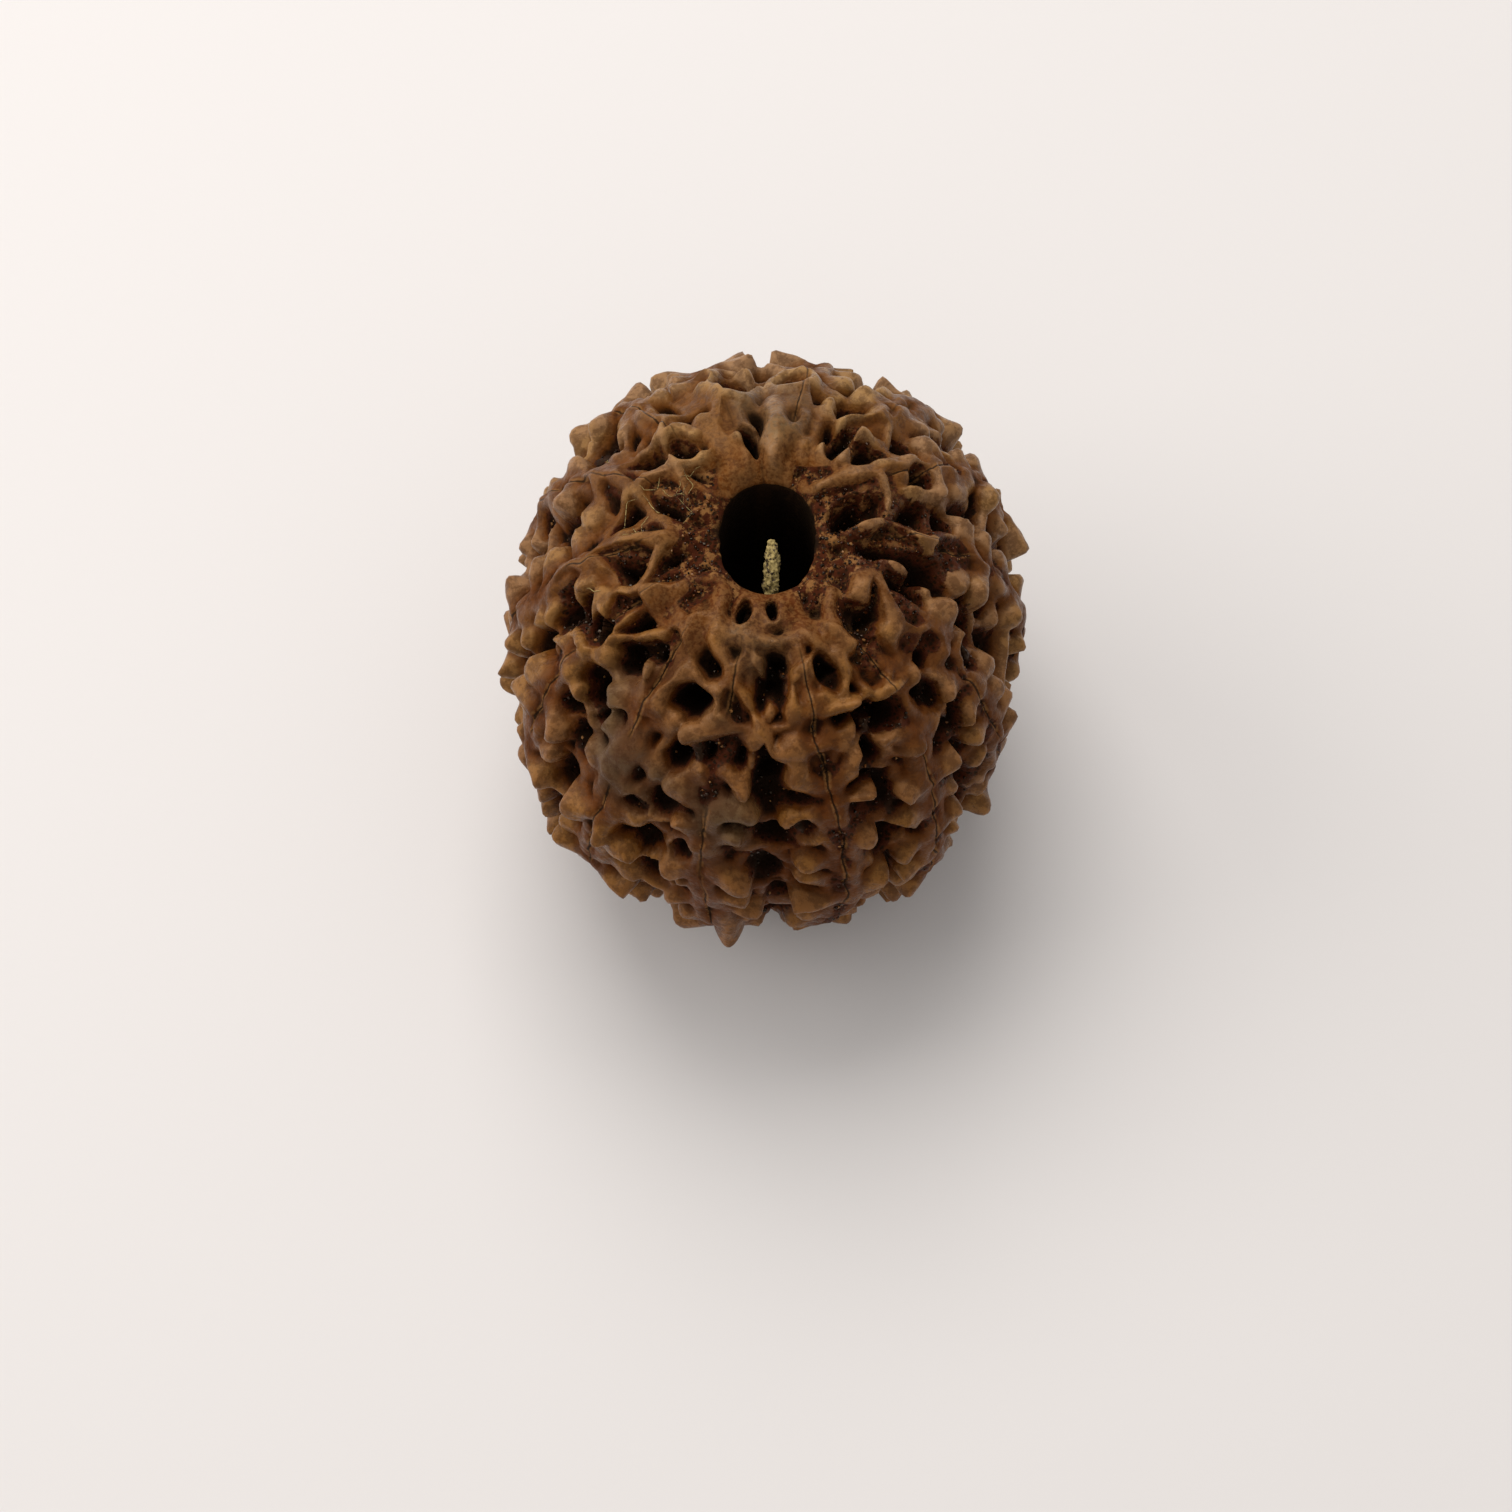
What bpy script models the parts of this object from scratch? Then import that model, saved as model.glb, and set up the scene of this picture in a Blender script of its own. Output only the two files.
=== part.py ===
"""Rudraksha bead: the knobbed stone of one fruit, with fourteen faces between fourteen seams.

The stone stands on one end with its natural bore upright. Units are metres and +Z is up along the
bore. Azimuth 0 is the front, -Y, and grows towards +X. A run is a distance along the outside from
the upper lip of the bore.
"""

import math
import random

import bmesh
import bpy
import numpy as np
from mathutils import Matrix, Vector, noise

MM = 0.001

# The smooth body under the knobs
BODY_RADIUS = 14.85 * MM
BODY_HALF_HEIGHT = 14.5 * MM
BODY_FULLNESS = 2.1  # exponent of the half section: 2 is an ellipse, more is boxier
BODY_OVAL = 0.056  # share by which the section is longer front to back
# Swells of the section: (how many round it, share of the radius, azimuth of a crest in degrees)
SECTION_SWELLS = ((2, 0.014, -47), (3, 0.008, 3), (4, 0.018, 39))
END_DIP_DEPTH = 1.3 * MM
END_DIP_RADIUS = 4.6 * MM

# The bore, which a thread of up to 4 mm goes through, is oval front to back
BORE_RADIUS = 3.06 * MM
BORE_OVAL = 0.137
LIP_ROUNDING = 0.25 * MM

# The seams between the faces, as azimuths in degrees
SEAM_AZIMUTHS = (-165, -141, -117, -87, -62, -37, -12, 14, 38, 61, 91, 119, 143, 168)
SEAM_WANDER = 0.03  # radians either way
SEAM_RIDGE_OFFSET = 0.32 * MM
SEAM_RIDGE_RADIUS = 0.95 * MM
SEAM_RIDGE_HEIGHT = 1.05 * MM
# How high each seam stands at the upper end, as a share of its height in the middle
SEAM_END_SHARES = (0.9, 0.6, 0.45, 0.15, 0.2, 0.5, 0.8, 0.7, 0.3, 0.1, 0.15, 0.8, 0.6, 0.9)

# The knobs on both sides of each seam
KNOB_START = (7.2 * MM, 9.0 * MM)  # run of the first knob of a row
KNOB_SPACING = (1.9 * MM, 2.9 * MM)
KNOB_REACH = (1.1 * MM, 2.2 * MM)
KNOB_RADIUS = (0.6 * MM, 0.98 * MM)
KNOB_HEIGHT = (0.8 * MM, 1.9 * MM)
BRIDGE_SHARE = 0.55
VALLEY_DEPTH = 1.15 * MM
BLEND = 0.24 * MM  # how softly knobs and ridges run into each other
LUMP_SIZE = 1.1 * MM
LUMP_HEIGHT = 0.22 * MM
SEED = 11

# The net of low walls between the knobs
NET_CELL = 2.7 * MM
NET_WALL = (0.25 * MM, 1.15 * MM)
NET_HEIGHT = 0.8 * MM
NET_HOLLOW = 0.35 * MM
# How much higher the walls and deeper the cells are round the mouths, and how far that reaches
MOUTH_NET = 0.4 * MM
MOUTH_NET_REACH = (7.5 * MM, 12 * MM)

# Ridges round the upper mouth, each a line of (azimuth in degrees, run, radius, height) in mm
MOUTH_RIDGES = (
    ((-8, 0.6, 2.0, 0.75), (-6, 2.6, 2.0, 0.9)),
    ((-40, 0.6, 0.7, 0.8), (-33, 1.6, 0.8, 1.1), (-23, 3.4, 0.7, 1.5), (-13, 5.0, 0.6, 1.6)),
    ((-13, 5.0, 0.7, 1.5), (-4, 6.9, 0.65, 1.5), (9, 9.8, 0.7, 1.5)),
    ((36, 0.7, 0.7, 0.8), (42, 1.8, 0.75, 1.1), (30, 3.6, 0.7, 1.3), (24, 6.2, 0.6, 1.4)),
    ((-23, 3.1, 0.8, 1.5), (4, 3.0, 0.75, 1.5), (28, 3.3, 0.7, 1.3)),
    ((13, 3.4, 0.6, 1.4), (13, 6.6, 0.6, 1.5)),
    ((175, 0.6, 1.0, 1.5), (176, 2.6, 1.4, 2.0), (178, 4.8, 0.9, 1.4)),
    ((-154, 0.6, 0.9, 1.0), (-154, 4.6, 0.9, 1.4)),
    ((-128, 0.8, 1.0, 0.7), (-124, 3.6, 0.8, 1.2)),
    ((136, 0.7, 0.8, 1.2), (124, 2.8, 0.8, 1.4), (119, 7.0, 0.7, 1.6)),
    ((158, 1.6, 0.8, 1.1), (158, 5.6, 0.8, 1.5)),
    ((-44, 0.5, 0.6, 0.7), (-58, 3.4, 0.6, 1.1), (-60, 6.6, 0.6, 1.2)),
    ((15, 7.0, 0.5, 1.5), (26, 6.8, 0.55, 2.0)),
    ((40, 6.6, 0.6, 1.4), (34, 7.6, 0.6, 1.9)),
    ((29, 10.3, 0.6, 1.1), (38, 10.9, 0.6, 1.6)),
    ((15, 12.0, 0.65, 1.2), (24, 12.1, 0.6, 1.6)),
    ((-36, 15.6, 0.9, 1.2), (-36, 17.0, 0.6, 2.0)),
    ((-11, 20.6, 1.5, 0.8), (-8, 24.3, 1.0, 2.4)),
)

# Pits round the upper mouth: (azimuth in degrees, run, half length, half width, turn, depth) in mm
MOUTH_PITS = (
    (-15, 1.3, 0.72, 0.38, 8, 1.3),
    (2, 1.2, 0.66, 0.34, 0, 1.2),
    (3, 4.7, 1.5, 0.7, 4, 1.9),
    (21, 5.0, 1.1, 0.65, 0, 1.8),
    (-25, 6.5, 0.9, 1.1, 0, 1.7),
    (-43, 5.8, 0.7, 0.7, 0, 1.3),
    (44, 3.7, 1.3, 0.9, 0, 1.1),
    (31, 8.4, 1.2, 1.6, 0, 1.5),
    (82, 6.3, 1.4, 0.9, 0, 1.6),
    (105, 1.7, 1.3, 0.85, 25, 1.5),
    (116, 6.4, 0.8, 0.7, 0, 1.3),
    (144, 3.4, 1.3, 0.75, 0, 1.8),
    (172, 7.1, 0.9, 0.8, 0, 1.6),
    (-169, 7.2, 1.35, 0.9, 8, 1.9),
    (-168, 2.2, 1.3, 0.42, 8, 1.8),
    (-139, 3.6, 1.05, 0.75, 0, 1.8),
    (-62, 7.4, 1.0, 0.75, 0, 1.3),
    (-46, 10.4, 0.8, 0.65, 0, 1.1),
    (-110, 13.4, 1.1, 0.9, 0, 1.3),
    (-30, 13.5, 0.7, 0.6, 0, 1.0),
    (-18, 15.9, 0.8, 0.6, 0, 1.0),
    (-17, 8.9, 0.7, 0.8, 0, 1.1),
    (66, 10.8, 1.1, 0.8, 0, 1.3),
    (47, 12.1, 1.2, 0.9, 0, 1.2),
    (24, 10.6, 1.0, 0.7, 0, 1.2),
    (8, 13.2, 0.8, 0.7, 0, 1.2),
    (29, 13.8, 1.0, 0.8, 0, 1.2),
)
COLLAR_HEIGHT = 0.6 * MM  # of the raised rim round each of them

# The stone stands on the worn tips of the knobs round its lower mouth
WORN_DEPTH = 0.45 * MM
CUTTER_SIZE = 60 * MM

STONE_COLOUR = (0.26, 0.13, 0.055)

# How finely the stone is meshed, and how many of its faces are kept
AROUND = 256
ALONG = 220
OUTER_SHARE = 0.86  # of the rows that lie on the outside, and the rest line the bore
STONE_TRIANGLES = 11200


def clear_scene():
    for obj in list(bpy.data.objects):
        bpy.data.objects.remove(obj, do_unlink=True)


def principled(name, colour, roughness):
    material = bpy.data.materials.new(name)
    material.use_nodes = True
    shader = material.node_tree.nodes["Principled BSDF"]
    shader.inputs["Base Color"].default_value = (*colour, 1.0)
    shader.inputs["Roughness"].default_value = roughness
    shader.inputs["Metallic"].default_value = 0.0
    return material


class Meridian:
    """The closed half section of the smooth stone, run through from the upper lip and back to it."""

    def __init__(self, points=1500):
        power = 2 / BODY_FULLNESS
        lip_angle = math.asin((BORE_RADIUS / BODY_RADIUS) ** (1 / power))
        angle = np.linspace(lip_angle, math.pi - lip_angle, points)
        rho = BODY_RADIUS * np.sin(angle) ** power
        z = BODY_HALF_HEIGHT * np.sign(np.cos(angle)) * np.abs(np.cos(angle)) ** power
        z -= np.sign(z) * END_DIP_DEPTH * np.exp(-((rho / END_DIP_RADIUS) ** 2))
        bore_z = np.linspace(z[-1], z[0], points // 3 + 2)[1:-1]
        bore_rho = np.full(len(bore_z), BORE_RADIUS)
        line = np.column_stack([np.concatenate([rho, bore_rho]), np.concatenate([z, bore_z])])
        run = self.run_along(line)
        step = run[-1] / (2 * points)
        at = np.arange(2 * points) * step
        even = np.column_stack([np.interp(at, run, np.append(line[:, i], line[0, i])) for i in (0, 1)])
        lip_row = int(round(run[points - 1] / step))
        reach = int(3 * LIP_ROUNDING / step)
        kernel = np.exp(-0.5 * (np.arange(-reach, reach + 1) * step / LIP_ROUNDING) ** 2)
        kernel /= kernel.sum()
        padded = np.concatenate([even[-reach:], even, even[:reach]])
        smooth = np.column_stack([np.convolve(padded[:, i], kernel, "valid") for i in (0, 1)])
        run = self.run_along(smooth)
        self.run = run
        self.total = run[-1]
        self.outside = run[lip_row]
        self.line = np.vstack([smooth, smooth[:1]])
        ahead = np.roll(smooth, -1, axis=0) - np.roll(smooth, 1, axis=0)
        ahead /= np.linalg.norm(ahead, axis=1)[:, None]
        self.ahead = np.vstack([ahead, ahead[:1]])

    @staticmethod
    def run_along(line):
        steps = np.linalg.norm(np.roll(line, -1, axis=0) - line, axis=1)
        return np.concatenate([[0], np.cumsum(steps)])

    def at(self, s):
        """(rho, z, run direction in rho, run direction in z) at a run s from the upper lip."""
        s = np.mod(s, self.total)
        rho, z = (np.interp(s, self.run, self.line[:, i]) for i in (0, 1))
        d_rho, d_z = (np.interp(s, self.run, self.ahead[:, i]) for i in (0, 1))
        return rho, z, d_rho, d_z


def section_factor(phi, rho):
    """How much further than rho the oval section lies at azimuth phi."""
    near_bore = np.exp(-((rho / (1.6 * BORE_RADIUS)) ** 2))
    oval = BODY_OVAL + (BORE_OVAL - BODY_OVAL) * near_bore
    swell = sum(share * np.cos(count * (phi - math.radians(crest))) for count, share, crest in SECTION_SWELLS)
    return 1 + oval * np.cos(2 * phi) + swell * (1 - near_bore)


def body_point(meridian, phi, s):
    """Point and outward normal of the smooth body."""
    phi, s = np.broadcast_arrays(np.asarray(phi, float), np.asarray(s, float))
    rho, z, d_rho, d_z = meridian.at(s)
    wide = rho * section_factor(phi, rho)
    point = np.stack([wide * np.sin(phi), -wide * np.cos(phi), z], axis=-1)
    normal = np.stack([-d_z * np.sin(phi), d_z * np.cos(phi), d_rho], axis=-1)
    return point, normal


def seam_azimuth(index, share):
    """Azimuth of a seam at a share of the way from the upper mouth to the lower one."""
    wander = np.sin(2 * math.pi * 1.4 * share + 2.4 * index) * np.sin(math.pi * share)
    return math.radians(SEAM_AZIMUTHS[index % len(SEAM_AZIMUTHS)]) + SEAM_WANDER * wander


def turn_between(a, b):
    """The turn from azimuth a to azimuth b, the short way."""
    return (b - a + math.pi) % (2 * math.pi) - math.pi


def half_face(index, side, share, rho):
    """Distance from a seam to the middle of the face beside it."""
    turn = turn_between(seam_azimuth(index, share), seam_azimuth(index + side, share))
    return abs(turn) * rho / 2


class Relief:
    """Ridges and knobs, each a line with a radius and a height at both ends, and pits."""

    def __init__(self, meridian):
        self.meridian = meridian
        self.rows = []
        self.pits = []

    def ridge(self, start, end, roundness, lean=0.0):
        """start and end are (azimuth, run, radius, height); lean tips the crest towards the end."""
        a = body_point(self.meridian, *start[:2])[0]
        b = body_point(self.meridian, *end[:2])[0]
        self.rows.append((a, b, (start[2], end[2]), (start[3], end[3]), roundness, lean))

    def pit(self, phi, run, long, wide, turn, depth, collar):
        """A hollow that ends depth below the ground, in a rim that stands collar above it."""
        centre, normal = body_point(self.meridian, phi, run)
        across = np.array([math.cos(phi), math.sin(phi), 0])
        along = np.cross(across, normal)
        axis_long = along * math.cos(turn) + across * math.sin(turn)
        axis_wide = across * math.cos(turn) - along * math.sin(turn)
        self.pits.append((centre, axis_long / long, axis_wide / wide, 2.2 * max(long, wide), depth, collar))


def seam_ridges(relief, draw):
    """The crests that run on both sides of every seam from mouth to mouth."""
    outside = relief.meridian.outside
    steps = 16
    for index, end_share in enumerate(SEAM_END_SHARES):
        for side in (-1, 1):
            before = None
            for step in range(steps + 1):
                share = (step + 0.15) / (steps + 0.3)
                rho = float(relief.meridian.at(share * outside)[0])
                offset = min(SEAM_RIDGE_OFFSET, 0.3 * half_face(index, side, share, rho))
                grown = min(share / 0.22, 1)
                end = end_share + (1 - end_share) * grown
                height = SEAM_RIDGE_HEIGHT * draw.uniform(0.75, 1.2) * end
                radius = SEAM_RIDGE_RADIUS * min(0.55 + 0.45 * rho / (8 * MM), 1.0)
                here = (seam_azimuth(index, share) + side * offset / rho, share * outside, radius, height)
                if before:
                    relief.ridge(before, here, 2.4)
                before = here


def knob_rows(meridian, draw):
    """{(seam, side): [(share, run, half width of the face, height)]} of every knob."""
    rows = {}
    for index in range(len(SEAM_AZIMUTHS)):
        for side in (-1, 1):
            run = draw.uniform(*KNOB_START)
            row = []
            while run < meridian.outside - 2.6 * MM:
                share = run / meridian.outside
                half = half_face(index, side, share, float(meridian.at(run)[0]))
                size = min(half / (2.7 * MM), 1.0)
                height = draw.uniform(*KNOB_HEIGHT) * (0.45 + 0.55 * size)
                row.append((share, run, half, height))
                run += draw.uniform(*KNOB_SPACING) * (0.75 + 0.25 * size)
            rows[index, side] = row
    return rows


def knobs_and_bridges(relief, draw):
    """Knobs that stand out from the crests into each face, and bridges across the faces."""
    outside = relief.meridian.outside
    tips = {}
    for (index, side), row in knob_rows(relief.meridian, draw).items():
        for share, run, half, height in row:
            rho = float(relief.meridian.at(run)[0])
            reach = min(draw.uniform(*KNOB_REACH), 0.68 * half)
            radius = min(max(0.46 * half, KNOB_RADIUS[0]), KNOB_RADIUS[1]) * draw.uniform(0.78, 1.25)
            drift = draw.uniform(-0.8, 0.8) * MM
            seam = seam_azimuth(index, share)
            root = (seam + side * 0.3 * reach / rho, run, radius, 0.75 * height)
            tip = (seam + side * reach / rho, run + drift, radius, height)
            relief.ridge(root, tip, 2.7, 0.18)
            tips.setdefault((index, side), []).append(tip)
    for index in range(len(SEAM_AZIMUTHS)):
        across = tips[(index + 1) % len(SEAM_AZIMUTHS), -1]
        for tip in tips[index, 1]:
            share = tip[1] / outside
            near_end = 1 - min(min(share, 1 - share) / 0.2, 1)
            if draw.random() > BRIDGE_SHARE + 0.4 * near_end:
                continue
            other = min(across, key=lambda t: abs(t[1] - tip[1]))
            far = tip[0] + turn_between(tip[0], other[0])
            start = (tip[0], tip[1], 0.7 * tip[2], 0.6 * tip[3])
            relief.ridge(start, (far, other[1], 0.7 * other[2], 0.6 * other[3]), 2.0)


def mouth_landmarks(relief):
    for line in MOUTH_RIDGES:
        points = [(math.radians(az), run * MM, radius * MM, height * MM) for az, run, radius, height in line]
        for start, end in zip(points, points[1:]):
            relief.ridge(start, end, 2.2)
    for az, run, long, wide, turn, depth in MOUTH_PITS:
        size = (long * MM, wide * MM, math.radians(turn), depth * MM)
        relief.pit(math.radians(az), run * MM, *size, COLLAR_HEIGHT)


def scattered_pits(relief, draw):
    """Lens-shaped pits in the faces, closest together round the lower mouth."""
    outside = relief.meridian.outside
    for index in range(len(SEAM_AZIMUTHS)):
        run = 9.5 * MM + draw.uniform(0, 2) * MM
        while run < outside - 1.4 * MM:
            share = run / outside
            rho = float(relief.meridian.at(run)[0])
            seam = seam_azimuth(index, share)
            gap = turn_between(seam, seam_azimuth(index + 1, share))
            half = gap * rho / 2
            wide = min(draw.uniform(0.3, 0.42) * half, 0.95 * MM)
            phi = seam + gap * draw.uniform(0.4, 0.6)
            turn = math.radians(draw.uniform(-25, 25))
            long = wide * draw.uniform(1.1, 1.6)
            relief.pit(phi, run, long, wide, turn, draw.uniform(0.4, 1.2) * wide, 0.4 * MM)
            run += draw.uniform(2.4, 3.8) * MM


def smooth_max(a, b, blend):
    share = np.clip(0.5 + 0.5 * (a - b) / blend, 0, 1)
    return b + (a - b) * share + blend * share * (1 - share)


def warp(points, wavelength, amount):
    """A smooth random shift of each point."""
    noise.seed_set(SEED)
    shift = [noise.noise_vector(Vector(p) / wavelength) for p in points]
    return points + amount * np.array(shift)


def lumps(points, size, height):
    return height * np.array([noise.noise(Vector(p) / size) for p in points])


def ramp(value, low, high):
    """0 below low, 1 above high, and smooth between."""
    share = np.clip((value - low) / (high - low), 0, 1)
    return share * share * (3 - 2 * share)


def valley_floor(meridian, phi, s):
    """Height of the ground between the crests: a trough in the middle of each face."""
    share = np.clip(s / meridian.outside, 0, 1)
    seams = np.array([seam_azimuth(i, share) for i in range(len(SEAM_AZIMUTHS))])
    turn = turn_between(seams, phi)
    left = np.where(turn >= 0, turn, 2 * math.pi).min(axis=0)
    right = np.where(turn < 0, -turn, 2 * math.pi).min(axis=0)
    across = left / (left + right)
    rho = meridian.at(s)[0]
    width = (left + right) * rho
    depth = VALLEY_DEPTH * np.clip((width - 1.5 * MM) / (4.5 * MM), 0, 1)
    return -depth * np.sin(math.pi * across) ** 1.2


def net(points):
    """1 on the walls of an irregular net of cells, 0 inside them."""
    near = np.array([noise.voronoi(Vector(p) / NET_CELL)[0][:2] for p in points])
    return ramp((near[:, 1] - near[:, 0]) * NET_CELL, NET_WALL[1], NET_WALL[0])


def raise_relief(points, floor, relief):
    """(height, sideways lean) of the surface above the smooth body at each point."""
    height = floor.copy()
    lean = np.zeros_like(points)
    for a, b, radii, heights, roundness, tip in relief.rows:
        along = b - a
        length = max(np.linalg.norm(along), 1e-9)
        reach = 1.7 * max(radii) + length
        near = np.nonzero(((points - a) ** 2).sum(axis=1) < reach**2)[0]
        from_a = points[near] - a
        share = np.clip(from_a @ along / length**2, 0, 1)
        distance = np.linalg.norm(from_a - share[:, None] * along, axis=1)
        radius = radii[0] + share * (radii[1] - radii[0])
        top = heights[0] + share * (heights[1] - heights[0])
        ground = floor[near]
        crest = 1 - (distance / radius) ** roundness
        here = ground + np.maximum(top - ground, BLEND) * crest
        height[near] = smooth_max(height[near], here, BLEND)
        if tip:
            lean[near] += (tip * np.clip(crest, 0, 1) ** 2 * top)[:, None] * along / length
    for centre, axis_long, axis_wide, reach, depth, collar in relief.pits:
        near = np.nonzero(((points - centre) ** 2).sum(axis=1) < reach**2)[0]
        offset = points[near] - centre
        out = np.hypot(offset @ axis_long, offset @ axis_wide)
        rim = np.clip(1 - ((out - 1.4) / 0.8) ** 2, 0, 1)
        height[near] = smooth_max(height[near], floor[near] + (collar + BLEND) * rim - BLEND, BLEND)
        hollow = ramp(out, 1.15, 0.4)
        height[near] += hollow * (floor[near] - depth - height[near])
    return height, lean


def stone_shape(meridian, phi, s):
    """Where each vertex of the knobbed stone lies."""
    draw = random.Random(SEED)
    relief = Relief(meridian)
    seam_ridges(relief, draw)
    knobs_and_bridges(relief, draw)
    mouth_landmarks(relief)
    scattered_pits(relief, draw)
    point, normal = body_point(meridian, phi, s)
    asked = warp(warp(point, 3.4 * MM, 0.45 * MM), 1.1 * MM, 0.16 * MM)
    past_lip = np.minimum(s, meridian.outside - s)
    walls = net(asked)
    more = MOUTH_NET * ramp(past_lip, MOUTH_NET_REACH[1], MOUTH_NET_REACH[0])
    netted = (NET_HEIGHT + more) * walls - (NET_HOLLOW + more) * (1 - walls)
    floor = valley_floor(meridian, phi, s) + ramp(past_lip, 0.8 * MM, 3.0 * MM) * netted
    height, lean = raise_relief(asked, floor, relief)
    height += lumps(point, LUMP_SIZE, LUMP_HEIGHT)
    shown = ramp(past_lip, -0.3 * MM, 1.0 * MM)
    return point + shown[:, None] * (height[:, None] * normal + lean)


def turned_grid(name, around, along, halvings=0):
    """A ring primitive, and for each of its vertices the azimuth and the share round its tube."""
    bpy.ops.mesh.primitive_torus_add(
        location=(0, 0, 0), major_segments=around, minor_segments=along, major_radius=2, minor_radius=1
    )
    ring = bpy.context.object
    ring.name = name
    ring.data.name = name
    for _ in range(halvings):
        bpy.ops.object.mode_set(mode="EDIT")
        bpy.ops.mesh.select_all(action="SELECT")
        bpy.ops.mesh.subdivide(number_cuts=1)
        bpy.ops.object.mode_set(mode="OBJECT")
    co = np.empty(len(ring.data.vertices) * 3, np.float64)
    ring.data.vertices.foreach_get("co", co)
    co = co.reshape(-1, 3)
    phi = np.arctan2(co[:, 0], -co[:, 1])
    tube = np.arctan2(co[:, 2], np.hypot(co[:, 0], co[:, 1]) - 2) / math.pi
    return ring, phi, tube


def run_of(meridian, tube):
    """The run along the meridian for a share round the ring's tube, 1 and -1 being the bore's waist."""
    outer = meridian.outside / 2 * (1 - tube / OUTER_SHARE)
    inner = (meridian.total - meridian.outside) / (2 * (1 - OUTER_SHARE))
    below = meridian.outside + inner * (-tube - OUTER_SHARE)
    above = meridian.total - inner * (tube - OUTER_SHARE)
    return np.where(tube < -OUTER_SHARE, below, np.where(tube > OUTER_SHARE, above, outer))


def applied(obj):
    """Leaves the mesh that the object's modifiers make in place of its own."""
    bpy.context.view_layer.update()
    graph = bpy.context.evaluated_depsgraph_get()
    mesh = bpy.data.meshes.new_from_object(obj.evaluated_get(graph))
    obj.modifiers.clear()
    obj.data = mesh
    mesh.name = obj.name


def keep_main_body(obj):
    """Drops any scrap that is not joined to the stone."""
    mesh = bmesh.new()
    mesh.from_mesh(obj.data)
    left = set(mesh.verts)
    bodies = []
    while left:
        todo = [left.pop()]
        body = list(todo)
        while todo:
            for edge in todo.pop().link_edges:
                for vert in edge.verts:
                    if vert in left:
                        left.remove(vert)
                        todo.append(vert)
                        body.append(vert)
        bodies.append(body)
    bodies.sort(key=len)
    for body in bodies[:-1]:
        bmesh.ops.delete(mesh, geom=body, context="VERTS")
    bmesh.ops.triangulate(mesh, faces=mesh.faces)
    mesh.to_mesh(obj.data)
    mesh.free()


def make_stone():
    meridian = Meridian()
    stone, phi, tube = turned_grid("bead_stone", AROUND, ALONG)
    co = stone_shape(meridian, phi, run_of(meridian, tube))
    stone.data.vertices.foreach_set("co", co.ravel())
    stone.data.update()
    thin = stone.modifiers.new("fewer faces", "DECIMATE")
    thin.ratio = STONE_TRIANGLES / (2 * AROUND * ALONG)
    applied(stone)
    stone.data.materials.clear()
    stone.data.materials.append(principled("stone_brown", STONE_COLOUR, 0.5))
    return stone


def stand_on_worn_tips(stone):
    """Cuts the stone level where it stands, and moves it to stand in the middle of the origin."""
    level = min(vert.co.z for vert in stone.data.vertices) + WORN_DEPTH
    bpy.ops.mesh.primitive_cube_add(size=CUTTER_SIZE, location=(0, 0, level - CUTTER_SIZE / 2))
    cutter = bpy.context.object
    cut = stone.modifiers.new("worn tips", "BOOLEAN")
    cut.operation = "DIFFERENCE"
    cut.solver = "EXACT"
    cut.object = cutter
    applied(stone)
    bpy.data.objects.remove(cutter, do_unlink=True)
    keep_main_body(stone)
    middle = [0.0, 0.0, level]
    for axis in (0, 1):
        reach = [vert.co[axis] for vert in stone.data.vertices]
        middle[axis] = (min(reach) + max(reach)) / 2
    stone.data.transform(Matrix.Translation(-Vector(middle)))
    stone.data.update()


def gather(name, objects):
    """Puts the finished pieces in a collection of their own."""
    group = bpy.data.collections.new(name)
    bpy.context.scene.collection.children.link(group)
    for obj in objects:
        for old in list(obj.users_collection):
            old.objects.unlink(obj)
        group.objects.link(obj)


def main():
    clear_scene()
    stone = make_stone()
    stand_on_worn_tips(stone)
    gather("rudraksha_bead", [stone])


main()
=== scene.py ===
"""Rudraksha bead: the looks of the knobbed stone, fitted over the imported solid."""

import math
import random

import bpy
import numpy as np
from bpy.props import FloatProperty, FloatVectorProperty, IntProperty, PointerProperty
from mathutils import Matrix, Vector, noise


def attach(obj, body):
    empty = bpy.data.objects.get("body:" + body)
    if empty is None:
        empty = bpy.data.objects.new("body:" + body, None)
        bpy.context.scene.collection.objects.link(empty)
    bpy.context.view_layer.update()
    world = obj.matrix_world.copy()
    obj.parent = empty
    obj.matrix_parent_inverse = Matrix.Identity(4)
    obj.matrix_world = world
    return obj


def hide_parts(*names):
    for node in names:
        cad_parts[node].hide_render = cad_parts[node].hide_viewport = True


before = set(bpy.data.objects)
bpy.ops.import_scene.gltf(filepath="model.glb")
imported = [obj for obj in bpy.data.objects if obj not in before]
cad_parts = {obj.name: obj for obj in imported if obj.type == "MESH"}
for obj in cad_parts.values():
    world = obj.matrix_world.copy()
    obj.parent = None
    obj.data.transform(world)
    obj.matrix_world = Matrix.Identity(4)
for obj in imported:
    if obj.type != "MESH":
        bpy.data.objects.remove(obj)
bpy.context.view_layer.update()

bl_info = {
    "name": "Rudraksha Bead",
    "version": (1, 0, 0),
    "blender": (4, 5, 0),
    "location": "View3D > Sidebar > Bead",
    "description": "Builds a rudraksha bead with its knobs, pits, seams and dried pulp",
    "category": "Object",
}

MM = 0.001

# Swells of the section: (how many round it, share of the radius, azimuth of a crest in degrees)
SECTION_SWELLS = ((2, 0.014, -47), (3, 0.008, 3), (4, 0.018, 39))

# The seams between the faces, as azimuths in degrees from the front, -Y, towards +X
SEAM_AZIMUTHS = (-165, -141, -117, -87, -62, -37, -12, 14, 38, 61, 91, 119, 143, 168)
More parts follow.
